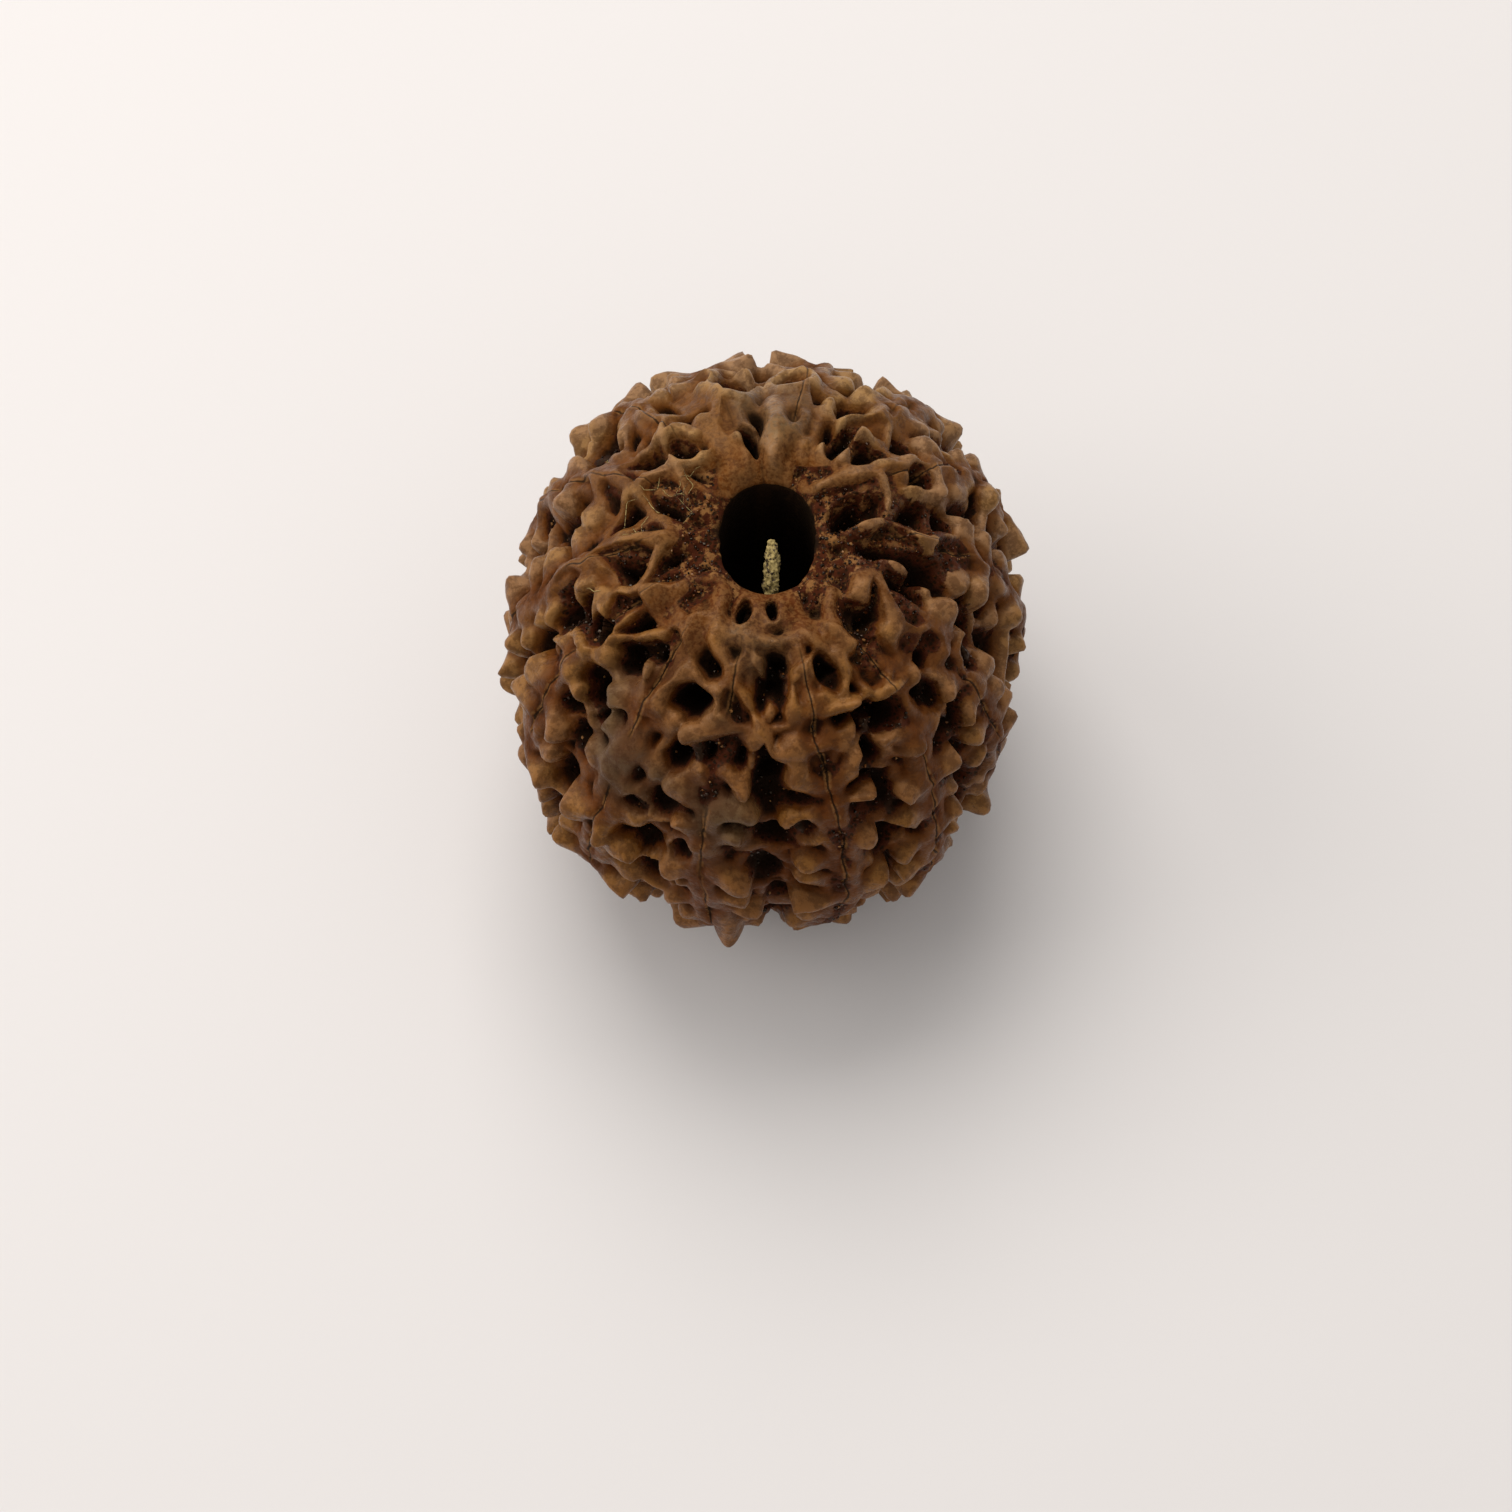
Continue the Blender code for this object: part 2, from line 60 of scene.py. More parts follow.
# How high each seam stands at the upper end, as a share of its height in the middle
SEAM_END_SHARES = (0.9, 0.6, 0.45, 0.15, 0.2, 0.5, 0.8, 0.7, 0.3, 0.1, 0.15, 0.8, 0.6, 0.9)
SEAM_WANDER = 0.03  # radians either way
SEAM_RIDGE_OFFSET = 0.32 * MM
SEAM_RIDGE_RADIUS = 0.95 * MM
SEAM_RIDGE_HEIGHT = 1.05 * MM
SEAM_RIDGE_UNEVEN = (0.75, 1.2)  # least and most of that height
SEAM_STEPS = 16
SEAM_GROWTH = 0.22  # share of the way from the upper mouth over which a seam grows to its full height

# How square the section of a crest is: 2 is round, more is flatter on top with steeper sides
SEAM_ROUNDNESS = 2.4
KNOB_ROUNDNESS = 2.7
BRIDGE_ROUNDNESS = 2.0
MOUTH_ROUNDNESS = 2.2

# The knobs on both sides of each seam
KNOB_START = (7.2 * MM, 9.0 * MM)  # run of the first knob of a row
KNOB_SPACING = (1.9 * MM, 2.9 * MM)
KNOB_REACH = (1.1 * MM, 2.2 * MM)
KNOB_RADIUS = (0.6 * MM, 0.98 * MM)
KNOB_HEIGHT = (0.8 * MM, 1.9 * MM)
KNOB_DRIFT = 0.8  # mm that a knob's tip lies nearer either mouth than its root
KNOB_LEAN = 0.18
KNOBS_END = 2.6 * MM  # above the lower lip
FULL_HALF_FACE = 2.7 * MM  # half the width of a face whose knobs have their full size
BRIDGE_SHARE = 0.55
BRIDGE_RADIUS = 0.7  # of the knobs that it joins
BRIDGE_HEIGHT = 0.6
VALLEY_DEPTH = 1.15 * MM
BLEND = 0.24 * MM

# The net of low walls between the knobs
NET_CELL = 2.7 * MM
NET_WALL = (0.25 * MM, 1.15 * MM)
NET_HEIGHT = 0.8 * MM
NET_HOLLOW = 0.35 * MM
# How much higher the walls and deeper the cells are round the mouths, and how far that reaches
MOUTH_NET = 0.4 * MM
MOUTH_NET_REACH = (7.5 * MM, 12 * MM)

# Ridges round the upper mouth, each a line of (azimuth in degrees, run, radius, height) in mm
MOUTH_RIDGES = (
    ((-8, 0.6, 2.0, 0.75), (-6, 2.6, 2.0, 0.9)),
    ((-40, 0.6, 0.7, 0.8), (-33, 1.6, 0.8, 1.1), (-23, 3.4, 0.7, 1.5), (-13, 5.0, 0.6, 1.6)),
    ((-13, 5.0, 0.7, 1.5), (-4, 6.9, 0.65, 1.5), (9, 9.8, 0.7, 1.5)),
    ((36, 0.7, 0.7, 0.8), (42, 1.8, 0.75, 1.1), (30, 3.6, 0.7, 1.3), (24, 6.2, 0.6, 1.4)),
    ((-23, 3.1, 0.8, 1.5), (4, 3.0, 0.75, 1.5), (28, 3.3, 0.7, 1.3)),
    ((13, 3.4, 0.6, 1.4), (13, 6.6, 0.6, 1.5)),
    ((175, 0.6, 1.0, 1.5), (176, 2.6, 1.4, 2.0), (178, 4.8, 0.9, 1.4)),
    ((-154, 0.6, 0.9, 1.0), (-154, 4.6, 0.9, 1.4)),
    ((-128, 0.8, 1.0, 0.7), (-124, 3.6, 0.8, 1.2)),
    ((136, 0.7, 0.8, 1.2), (124, 2.8, 0.8, 1.4), (119, 7.0, 0.7, 1.6)),
    ((158, 1.6, 0.8, 1.1), (158, 5.6, 0.8, 1.5)),
    ((-44, 0.5, 0.6, 0.7), (-58, 3.4, 0.6, 1.1), (-60, 6.6, 0.6, 1.2)),
    ((15, 7.0, 0.5, 1.5), (26, 6.8, 0.55, 2.0)),
    ((40, 6.6, 0.6, 1.4), (34, 7.6, 0.6, 1.9)),
    ((29, 10.3, 0.6, 1.1), (38, 10.9, 0.6, 1.6)),
    ((15, 12.0, 0.65, 1.2), (24, 12.1, 0.6, 1.6)),
    ((-36, 15.6, 0.9, 1.2), (-36, 17.0, 0.6, 2.0)),
    ((-11, 20.6, 1.5, 0.8), (-8, 24.3, 1.0, 2.4)),
)

# Pits round the upper mouth: (azimuth in degrees, run, half length, half width, turn, depth) in mm
MOUTH_PITS = (
    (-15, 1.3, 0.72, 0.38, 8, 1.3),
    (2, 1.2, 0.66, 0.34, 0, 1.2),
    (3, 4.7, 1.5, 0.7, 4, 1.9),
    (21, 5.0, 1.1, 0.65, 0, 1.8),
    (-25, 6.5, 0.9, 1.1, 0, 1.7),
    (-43, 5.8, 0.7, 0.7, 0, 1.3),
    (44, 3.7, 1.3, 0.9, 0, 1.1),
    (31, 8.4, 1.2, 1.6, 0, 1.5),
    (82, 6.3, 1.4, 0.9, 0, 1.6),
    (105, 1.7, 1.3, 0.85, 25, 1.5),
    (116, 6.4, 0.8, 0.7, 0, 1.3),
    (144, 3.4, 1.3, 0.75, 0, 1.8),
    (172, 7.1, 0.9, 0.8, 0, 1.6),
    (-169, 7.2, 1.35, 0.9, 8, 1.9),
    (-168, 2.2, 1.3, 0.42, 8, 1.8),
    (-139, 3.6, 1.05, 0.75, 0, 1.8),
    (-62, 7.4, 1.0, 0.75, 0, 1.3),
    (-46, 10.4, 0.8, 0.65, 0, 1.1),
    (-110, 13.4, 1.1, 0.9, 0, 1.3),
    (-30, 13.5, 0.7, 0.6, 0, 1.0),
    (-18, 15.9, 0.8, 0.6, 0, 1.0),
    (-17, 8.9, 0.7, 0.8, 0, 1.1),
    (66, 10.8, 1.1, 0.8, 0, 1.3),
    (47, 12.1, 1.2, 0.9, 0, 1.2),
    (24, 10.6, 1.0, 0.7, 0, 1.2),
    (8, 13.2, 0.8, 0.7, 0, 1.2),
    (29, 13.8, 1.0, 0.8, 0, 1.2),
)
COLLAR_HEIGHT = 0.6 * MM  # of the raised rim round each pit of the mouth
LOW_COLLAR_HEIGHT = 0.4 * MM  # of the rim round the other pits

# The other pits: runs and lengths in mm, the rest as shares
PIT_START = (9.5, 2)  # run of the first pit of a face, and how much later it may come
PITS_END = 1.4
PIT_SPACING = (2.4, 3.8)
PIT_WIDTH = (0.3, 0.42)  # of half the face
PIT_WIDTH_MOST = 0.95
PIT_PLACE = (0.4, 0.6)  # of the way across the face
PIT_STRETCH = (1.1, 1.6)  # length, of the width
PIT_DEPTH = (0.4, 1.2)  # of the width
PIT_TURN = 25  # degrees either way
SEED = 11

# How each point is shifted before the relief is read there: (wavelength, shift), so nothing is regular
WARPS = ((3.4 * MM, 0.45 * MM), (1.1 * MM, 0.16 * MM))

# Dried pulp in the low ground: how thick it is, and what is added at the right, beside the mouth,
# and before and behind the mouth
PULP_THICKNESS = 0.26 * MM
PULP_AT_RIGHT = 0.15 * MM
PULP_BESIDE = 0.32 * MM
PULP_BEFORE_AND_BEHIND = -0.6 * MM
PULP_GRAIN = (0.34 * MM, 0.2 * MM)  # width and height of its grains
CRUST_THICKNESS = 0.2 * MM  # of the pulp on both sides of the mouth
CRACK_DEPTH = 0.12 * MM  # of the hairline in each seam
CRACK_WIDTH = 0.08 * MM

# Greyish handled patches: (azimuth in degrees, run, reach) in mm
HANDLED_PATCHES = ((-30, 9.5, 6.0), (-14, 13.0, 4.0), (178, 4.0, 3.0), (-4, 3.0, 2.4))

# The point of the smooth body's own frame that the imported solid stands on
STANDING_POINT = (-0.17031 * MM, -0.13374 * MM, -14.32589 * MM)

CRUMB_RADIUS = (0.04 * MM, 0.11 * MM)
CRUMB_STAND = 0.25  # how far a crumb's middle stands above the ground, as a share of its radius
# Crumbs lie where there is this much pulp, past the lip in mm, and clear of the floor
CRUMB_PULP = 0.8
CRUMB_PAST_LIP = 0.2
CRUMB_ABOVE_FLOOR = 0.6 * MM

# The strand in the upper mouth, from its tip to its root in the wall, in mm from the middle of the lip
FIBRE_PATH = ((0.3, 0.1, -0.2), (0.25, -0.9, -0.9), (0.2, -2.2, -2.0), (0.15, -3.7, -3.4))

# Loose hairs lie on the low ground at the left of the mouth: degrees, and mm from the lip
HAIR_COUNT = 14
HAIR_AZIMUTHS = (-125, -70)
HAIR_RUNS = (1.5, 7.5)
HAIR_STEPS = 6
HAIR_STEP = 0.25 * MM
HAIR_RADIUS = (0.012, 0.024)  # in mm
HAIR_ABOVE = 0.05 * MM  # the ground
KNOB_TOPS = 1.2 * MM  # about how high the ground is looked for, above the smooth body

# The grid that the stone is drawn on, and the share of its rows that lie outside the bore
COLUMNS_PER_FACE = 18
ROWS = 220
OUTER_SHARE = 0.86
RISE_ROUNDS = 110  # of smoothing, which makes a mean over about 2 mm round each point

# Attributes of the stone that its material reads
STONE_MARKS = ("relief", "rise", "seam", "cracked", "pulp", "pit", "past_lip", "handled", "front_shade", "stray")
# Noise on the stone: (size of its spots, detail, roughness)
STONE_NOISE = {
    "mottle": (1.923 * MM, 5, 0.6),
    "blotch": (6.667 * MM, 3, 0.55),
    "grain": (0.2381 * MM, 3, 0.6),
    "flecks": (0.6667 * MM, 6, 0.7),
}
CRUMB_SPOT = 0.2778 * MM  # distance between the crumbs in the stone's colour
CRUMB_SPECK_SPOT = 0.1111 * MM
FIBRE_FLECK_SPOT = 0.2632 * MM
CARD_SPOT = 1.111 * MM
# Gains on red, green and blue: painted shade with a redder tint on the front, away from the lights, and where
# the tan is yellower
FRONT_SHADE_GAIN = (0.64, 0.43, 0.2, 1)
YELLOW_GAIN = (1.1, 1.1, 0.78, 1)
# Brown surfaces throw back a tinted light at a slant
STONE_SHEEN = "#FFD7AD"
PULP_SHEEN = "#FFE7CB"
TONE_SPAN = 1.4  # highest tone of a crumb, with its specks

# The photo is square. The bead's middle is 8 px right of its middle and 111 px above it
PHOTO_SIDE = 1512
BEAD_RIGHT = 8
BEAD_ABOVE = 111
SEEN_WIDTH = 88.5 * MM
CAMERA_ELEVATION = 66
BEAD_MIDDLE = (0, 0, 14.5 * MM)
# Soft lights: (name, place in metres, width in metres, power in watts)
LIGHTS = (("key", (-0.08, 0.26, 0.45), 0.36, 1.8), ("left", (-0.42, 0.06, 0.26), 0.40, 1.0))
SKY_STRENGTH = 0.5


def linear(hex_colour):
    """An sRGB hex colour as linear red, green and blue."""
    parts = [int(hex_colour[i : i + 2], 16) / 255 for i in (1, 3, 5)]
    return tuple(c / 12.92 if c <= 0.04045 else ((c + 0.055) / 1.055) ** 2.4 for c in parts)


def colour_property(name, description, hex_colour):
    """A colour that a user may change."""
    return FloatVectorProperty(
        name=name, description=description, default=linear(hex_colour), subtype="COLOR", min=0, max=1
    )


def length_property(name, description, millimetres):
    """A length that a user may change."""
    return FloatProperty(
        name=name,
        description=description,
        default=millimetres * MM,
        subtype="DISTANCE",
        unit="LENGTH",
    )


class BeadSizes(bpy.types.PropertyGroup):
    """Sizes of the stone and of what lies on it."""

    body_radius: length_property("Body Radius", "Mean radius of the stone under its knobs", 14.85)
    body_half_height: length_property("Half Height", "From the middle of the stone to either end", 14.5)
    body_fullness: FloatProperty(
        name="Fullness", description="2 is an ellipse in section, more is boxier", default=2.1, min=1.5, max=4
    )
    body_oval: FloatProperty(
        name="Oval", description="Share by which the section is longer front to back", default=0.056
    )
    dip_depth: length_property("End Dip Depth", "How far the ends dip towards the bore", 1.3)
    dip_radius: length_property("End Dip Radius", "How wide the dips at the ends are", 4.6)
    bore_radius: length_property("Bore Radius", "Mean radius of the natural bore", 3.06)
    bore_oval: FloatProperty(
        name="Bore Oval", description="Share by which the bore is longer front to back", default=0.137
    )
    lip_rounding: length_property("Lip Rounding", "How softly the ends turn into the bore", 0.25)
    lump_size: length_property("Lump Size", "Width of the small lumps all over the stone", 1.1)
    lump_height: length_property("Lump Height", "Height of the small lumps", 0.22)
    triangles: IntProperty(
        name="Triangles", description="How many triangles the stone keeps", default=190000, min=20000
    )
    crumbs: IntProperty(
        name="Crumbs", description="How many crumbs of dried pulp there are", default=5200, min=1
    )
    fibre_radius: length_property("Fibre Radius", "Radius of the strand in the upper mouth", 0.46)


class BeadColours(bpy.types.PropertyGroup):
    """Colours of the stone, of what lies on it, and of the floor."""

    pit: colour_property("Pit", "Floor of the deepest pits", "#0D0401")
    pulp: colour_property("Pulp", "Wine-red dried pulp", "#3C1407")
    grime: colour_property("Grime", "Dark flecks of handling grime", "#3A1A06")
    hollow: colour_property("Hollow", "Orange-brown dried skin in the valleys", "#512A09")
    flank: colour_property("Flank", "Orange-brown sides of the knobs", "#64370F")
    ridge: colour_property("Ridge", "Tan tops of the ridges", "#704A27")
    worn: colour_property("Worn Tip", "Palest worn tips", "#947150")
    dust: colour_property("Dust", "Ochre dust round the mouth", "#8E6236")
    grey: colour_property("Grey", "Greyish handled patches", "#50412F")
    fibre: colour_property("Fibre", "Dried strand in the mouth", "#A89258")
    fleck: colour_property("Fleck", "Dark flecks on the strand", "#2E1C0C")
    floor: colour_property("Floor", "Plain pale floor", "#E0DBD8")


def sizes():
    """The sizes that the scene holds."""
    return bpy.context.scene.bead_sizes


def tints():
    """Each colour of the bead as a colour socket takes it."""
    shades = bpy.context.scene.bead_colours
    return {name: (*getattr(shades, name), 1) for name in BeadColours.__annotations__}


class Meridian:
    """The closed half section of the smooth stone, run through from the upper lip and back to it."""

    def __init__(self, points=1500):
        size = sizes()
        power = 2 / size.body_fullness
        lip_angle = math.asin((size.bore_radius / size.body_radius) ** (1 / power))
        angle = np.linspace(lip_angle, math.pi - lip_angle, points)
        rho = size.body_radius * np.sin(angle) ** power
        z = size.body_half_height * np.sign(np.cos(angle)) * np.abs(np.cos(angle)) ** power
        z -= np.sign(z) * size.dip_depth * np.exp(-((rho / size.dip_radius) ** 2))
        bore_z = np.linspace(z[-1], z[0], points // 3 + 2)[1:-1]
        bore_rho = np.full(len(bore_z), size.bore_radius)
        line = np.column_stack([np.concatenate([rho, bore_rho]), np.concatenate([z, bore_z])])
        run = self.run_along(line)
        step = run[-1] / (2 * points)
        at = np.arange(2 * points) * step
        even = np.column_stack([np.interp(at, run, np.append(line[:, i], line[0, i])) for i in (0, 1)])
        lip_row = int(round(run[points - 1] / step))
        reach = int(3 * size.lip_rounding / step)
        kernel = np.exp(-0.5 * (np.arange(-reach, reach + 1) * step / size.lip_rounding) ** 2)
        kernel /= kernel.sum()
        padded = np.concatenate([even[-reach:], even, even[:reach]])
        smooth = np.column_stack([np.convolve(padded[:, i], kernel, "valid") for i in (0, 1)])
        run = self.run_along(smooth)
        self.run = run
        self.total = run[-1]
        self.outside = run[lip_row]
        self.line = np.vstack([smooth, smooth[:1]])
        ahead = np.roll(smooth, -1, axis=0) - np.roll(smooth, 1, axis=0)
        ahead /= np.linalg.norm(ahead, axis=1)[:, None]
        self.ahead = np.vstack([ahead, ahead[:1]])

    @staticmethod
    def run_along(line):
        """Length of a closed line up to each of its points, and back to the first."""
        steps = np.linalg.norm(np.roll(line, -1, axis=0) - line, axis=1)
        return np.concatenate([[0], np.cumsum(steps)])

    def at(self, s):
        """(rho, z, run direction in rho, run direction in z) at a run s from the upper lip."""
        s = np.mod(s, self.total)
        rho, z = (np.interp(s, self.run, self.line[:, i]) for i in (0, 1))
        d_rho, d_z = (np.interp(s, self.run, self.ahead[:, i]) for i in (0, 1))
        return rho, z, d_rho, d_z


def section_factor(phi, rho):
    """How much further than rho the oval section lies at azimuth phi."""
    size = sizes()
    near_bore = np.exp(-((rho / (1.6 * size.bore_radius)) ** 2))
    oval = size.body_oval + (size.bore_oval - size.body_oval) * near_bore
    swell = sum(
        share * np.cos(count * (phi - math.radians(crest))) for count, share, crest in SECTION_SWELLS
    )
    return 1 + oval * np.cos(2 * phi) + swell * (1 - near_bore)


def body_point(meridian, phi, s):
    """Point and outward normal of the smooth body."""
    phi, s = np.broadcast_arrays(np.asarray(phi, float), np.asarray(s, float))
    rho, z, d_rho, d_z = meridian.at(s)
    wide = rho * section_factor(phi, rho)
    point = np.stack([wide * np.sin(phi), -wide * np.cos(phi), z], axis=-1)
    normal = np.stack([-d_z * np.sin(phi), d_z * np.cos(phi), d_rho], axis=-1)
    return point, normal


def seam_azimuth(index, share):
    """Azimuth of a seam at a share of the way from the upper mouth to the lower one."""
    wander = np.sin(2 * math.pi * 1.4 * share + 2.4 * index) * np.sin(math.pi * share)
    return math.radians(SEAM_AZIMUTHS[index % len(SEAM_AZIMUTHS)]) + SEAM_WANDER * wander


def turn_between(a, b):
    """The turn from azimuth a to azimuth b, the short way."""
    return (b - a + math.pi) % (2 * math.pi) - math.pi


def half_face(index, side, share, rho):
    """Distance from a seam to the middle of the face beside it."""
    turn = turn_between(seam_azimuth(index, share), seam_azimuth(index + side, share))
    return abs(turn) * rho / 2


class Relief:
    """Ridges and knobs, each a line with a radius and a height at both ends, and pits."""

    def __init__(self, meridian):
        self.meridian = meridian
        self.rows = []
        self.pits = []

    def ridge(self, start, end, roundness, lean=0.0):
        """start and end are (azimuth, run, radius, height); lean tips the crest towards the end."""
        a = body_point(self.meridian, *start[:2])[0]
        b = body_point(self.meridian, *end[:2])[0]
        self.rows.append((a, b, (start[2], end[2]), (start[3], end[3]), roundness, lean))

    def pit(self, phi, run, long, wide, turn, depth, collar):
        """A hollow that ends depth below the ground, in a rim that stands collar above it."""
        centre, normal = body_point(self.meridian, phi, run)
        across = np.array([math.cos(phi), math.sin(phi), 0])
        along = np.cross(across, normal)
        axis_long = along * math.cos(turn) + across * math.sin(turn)
        axis_wide = across * math.cos(turn) - along * math.sin(turn)
        self.pits.append((centre, axis_long / long, axis_wide / wide, 2.2 * max(long, wide), depth, collar))


def seam_ridges(relief, draw):
    """The crests that run on both sides of every seam from mouth to mouth."""
    outside = relief.meridian.outside
    for index, end_share in enumerate(SEAM_END_SHARES):
        for side in (-1, 1):
            before = None
            for step in range(SEAM_STEPS + 1):
                share = (step + 0.15) / (SEAM_STEPS + 0.3)
                rho = float(relief.meridian.at(share * outside)[0])
                offset = min(SEAM_RIDGE_OFFSET, 0.3 * half_face(index, side, share, rho))
                grown = end_share + (1 - end_share) * min(share / SEAM_GROWTH, 1)
                height = SEAM_RIDGE_HEIGHT * draw.uniform(*SEAM_RIDGE_UNEVEN) * grown
                radius = SEAM_RIDGE_RADIUS * min(0.55 + 0.45 * rho / (8 * MM), 1.0)
                phi = seam_azimuth(index, share) + side * offset / rho
                here = (phi, share * outside, radius, height)
                if before:
                    relief.ridge(before, here, SEAM_ROUNDNESS)
                before = here


def knob_rows(meridian, draw):
    """{(seam, side): [(share, run, half width of the face, height)]} of every knob."""
    rows = {}
    for index in range(len(SEAM_AZIMUTHS)):
        for side in (-1, 1):
            run = draw.uniform(*KNOB_START)
            row = []
            while run < meridian.outside - KNOBS_END:
                share = run / meridian.outside
                half = half_face(index, side, share, float(meridian.at(run)[0]))
                size = min(half / FULL_HALF_FACE, 1.0)
                height = draw.uniform(*KNOB_HEIGHT) * (0.45 + 0.55 * size)
                row.append((share, run, half, height))
                run += draw.uniform(*KNOB_SPACING) * (0.75 + 0.25 * size)
            rows[index, side] = row
    return rows


def knobs_and_bridges(relief, draw):
    """Knobs that stand out from the crests into each face, and bridges across the faces."""
    outside = relief.meridian.outside
    tips = {}
    for (index, side), row in knob_rows(relief.meridian, draw).items():
        for share, run, half, height in row:
            rho = float(relief.meridian.at(run)[0])
            reach = min(draw.uniform(*KNOB_REACH), 0.68 * half)
            radius = min(max(0.46 * half, KNOB_RADIUS[0]), KNOB_RADIUS[1]) * draw.uniform(0.78, 1.25)
            drift = draw.uniform(-KNOB_DRIFT, KNOB_DRIFT) * MM
            seam = seam_azimuth(index, share)
            root = (seam + side * 0.3 * reach / rho, run, radius, 0.75 * height)
            tip = (seam + side * reach / rho, run + drift, radius, height)
            relief.ridge(root, tip, KNOB_ROUNDNESS, KNOB_LEAN)
            tips.setdefault((index, side), []).append(tip)
    for index in range(len(SEAM_AZIMUTHS)):
        across = tips[(index + 1) % len(SEAM_AZIMUTHS), -1]
        for tip in tips[index, 1]:
            share = tip[1] / outside
            near_end = 1 - min(min(share, 1 - share) / 0.2, 1)
            if draw.random() > BRIDGE_SHARE + 0.4 * near_end:
                continue
            other = min(across, key=lambda t: abs(t[1] - tip[1]))
            far = tip[0] + turn_between(tip[0], other[0])
            start = (tip[0], tip[1], BRIDGE_RADIUS * tip[2], BRIDGE_HEIGHT * tip[3])
            end = (far, other[1], BRIDGE_RADIUS * other[2], BRIDGE_HEIGHT * other[3])
            relief.ridge(start, end, BRIDGE_ROUNDNESS)


def mouth_landmarks(relief):
    """The ridges and pits that the mouth is known by."""
    for line in MOUTH_RIDGES:
        points = [(math.radians(azimuth), *(size * MM for size in rest)) for azimuth, *rest in line]
        for start, end in zip(points, points[1:]):
            relief.ridge(start, end, MOUTH_ROUNDNESS)
    for azimuth, run, long, wide, turn, depth in MOUTH_PITS:
        size = (long * MM, wide * MM, math.radians(turn), depth * MM)
        relief.pit(math.radians(azimuth), run * MM, *size, COLLAR_HEIGHT)


def scattered_pits(relief, draw):
    """Lens-shaped pits in the faces, closest together round the lower mouth."""
    outside = relief.meridian.outside
    for index in range(len(SEAM_AZIMUTHS)):
        run = PIT_START[0] * MM + draw.uniform(0, PIT_START[1]) * MM
        while run < outside - PITS_END * MM:
            share = run / outside
            rho = float(relief.meridian.at(run)[0])
            seam = seam_azimuth(index, share)
            gap = turn_between(seam, seam_azimuth(index + 1, share))
            half = gap * rho / 2
            wide = min(draw.uniform(*PIT_WIDTH) * half, PIT_WIDTH_MOST * MM)
            phi = seam + gap * draw.uniform(*PIT_PLACE)
            turn = math.radians(draw.uniform(-PIT_TURN, PIT_TURN))
            long = wide * draw.uniform(*PIT_STRETCH)
            relief.pit(phi, run, long, wide, turn, draw.uniform(*PIT_DEPTH) * wide, LOW_COLLAR_HEIGHT)
            run += draw.uniform(*PIT_SPACING) * MM


def smooth_max(a, b, blend):
    """The higher of two heights, rounded where they meet."""
    share = np.clip(0.5 + 0.5 * (a - b) / blend, 0, 1)
    return b + (a - b) * share + blend * share * (1 - share)


def warp(points, wavelength, amount):
    """A smooth random shift of each point."""
    noise.seed_set(SEED)
    shift = [noise.noise_vector(Vector(p) / wavelength) for p in points]
    return points + amount * np.array(shift)


def lumps(points, size, height):
    """Smooth random heights, up to about height either way, in lumps of about that size."""
    return height * np.array([noise.noise(Vector(p) / size) for p in points])


def face_place(meridian, phi, s):
    """(number of the face, share of the way across it, its width) at each point."""
    share = np.clip(s / meridian.outside, 0, 1)
    seams = np.array([seam_azimuth(i, share) for i in range(len(SEAM_AZIMUTHS))])
    turn = turn_between(seams, phi)
    past = np.where(turn >= 0, turn, 2 * math.pi)
    left = past.min(axis=0)
    right = np.where(turn < 0, -turn, 2 * math.pi).min(axis=0)
    return past.argmin(axis=0), left / (left + right), (left + right) * meridian.at(s)[0]


def valley_floor(across, width):
    """Height of the ground between the crests: a trough in the middle of each face."""
    depth = VALLEY_DEPTH * np.clip((width - 1.5 * MM) / (4.5 * MM), 0, 1)
    return -depth * np.sin(math.pi * across) ** 1.2


def net(points):
    """1 on the walls of an irregular net of cells, 0 inside them."""
    near = np.array([noise.voronoi(Vector(p) / NET_CELL)[0][:2] for p in points])
    return ramp((near[:, 1] - near[:, 0]) * NET_CELL, NET_WALL[1], NET_WALL[0])


def raise_relief(points, floor, relief):
    """(height, sideways lean, how far each point is into a pit) over the smooth body."""
    height = floor.copy()
    lean = np.zeros_like(points)
    hollowed = np.zeros(len(points))
    for a, b, radii, heights, roundness, tip in relief.rows:
        along = b - a
        length = max(np.linalg.norm(along), 1e-9)
        reach = 1.7 * max(radii) + length
        near = np.nonzero(((points - a) ** 2).sum(axis=1) < reach**2)[0]
        from_a = points[near] - a
        share = np.clip(from_a @ along / length**2, 0, 1)
        distance = np.linalg.norm(from_a - share[:, None] * along, axis=1)
        radius = radii[0] + share * (radii[1] - radii[0])
        top = heights[0] + share * (heights[1] - heights[0])
        ground = floor[near]
        crest = 1 - (distance / radius) ** roundness
        here = ground + np.maximum(top - ground, BLEND) * crest
        height[near] = smooth_max(height[near], here, BLEND)
        if tip:
            lean[near] += (tip * np.clip(crest, 0, 1) ** 2 * top)[:, None] * along / length
    for centre, axis_long, axis_wide, reach, depth, collar in relief.pits:
        near = np.nonzero(((points - centre) ** 2).sum(axis=1) < reach**2)[0]
        offset = points[near] - centre
        out = np.hypot(offset @ axis_long, offset @ axis_wide)
        rim = np.clip(1 - ((out - 1.4) / 0.8) ** 2, 0, 1)
        height[near] = smooth_max(height[near], floor[near] + (collar + BLEND) * rim - BLEND, BLEND)
        hollow = ramp(out, 1.15, 0.4)
        height[near] += hollow * (floor[near] - depth - height[near])
        hollowed[near] = np.maximum(hollowed[near], hollow)
    return height, lean, hollowed


def ramp(value, low, high):
    """0 below low, 1 above high, and smooth between."""
    share = np.clip((value - low) / (high - low), 0, 1)
    return share * share * (3 - 2 * share)


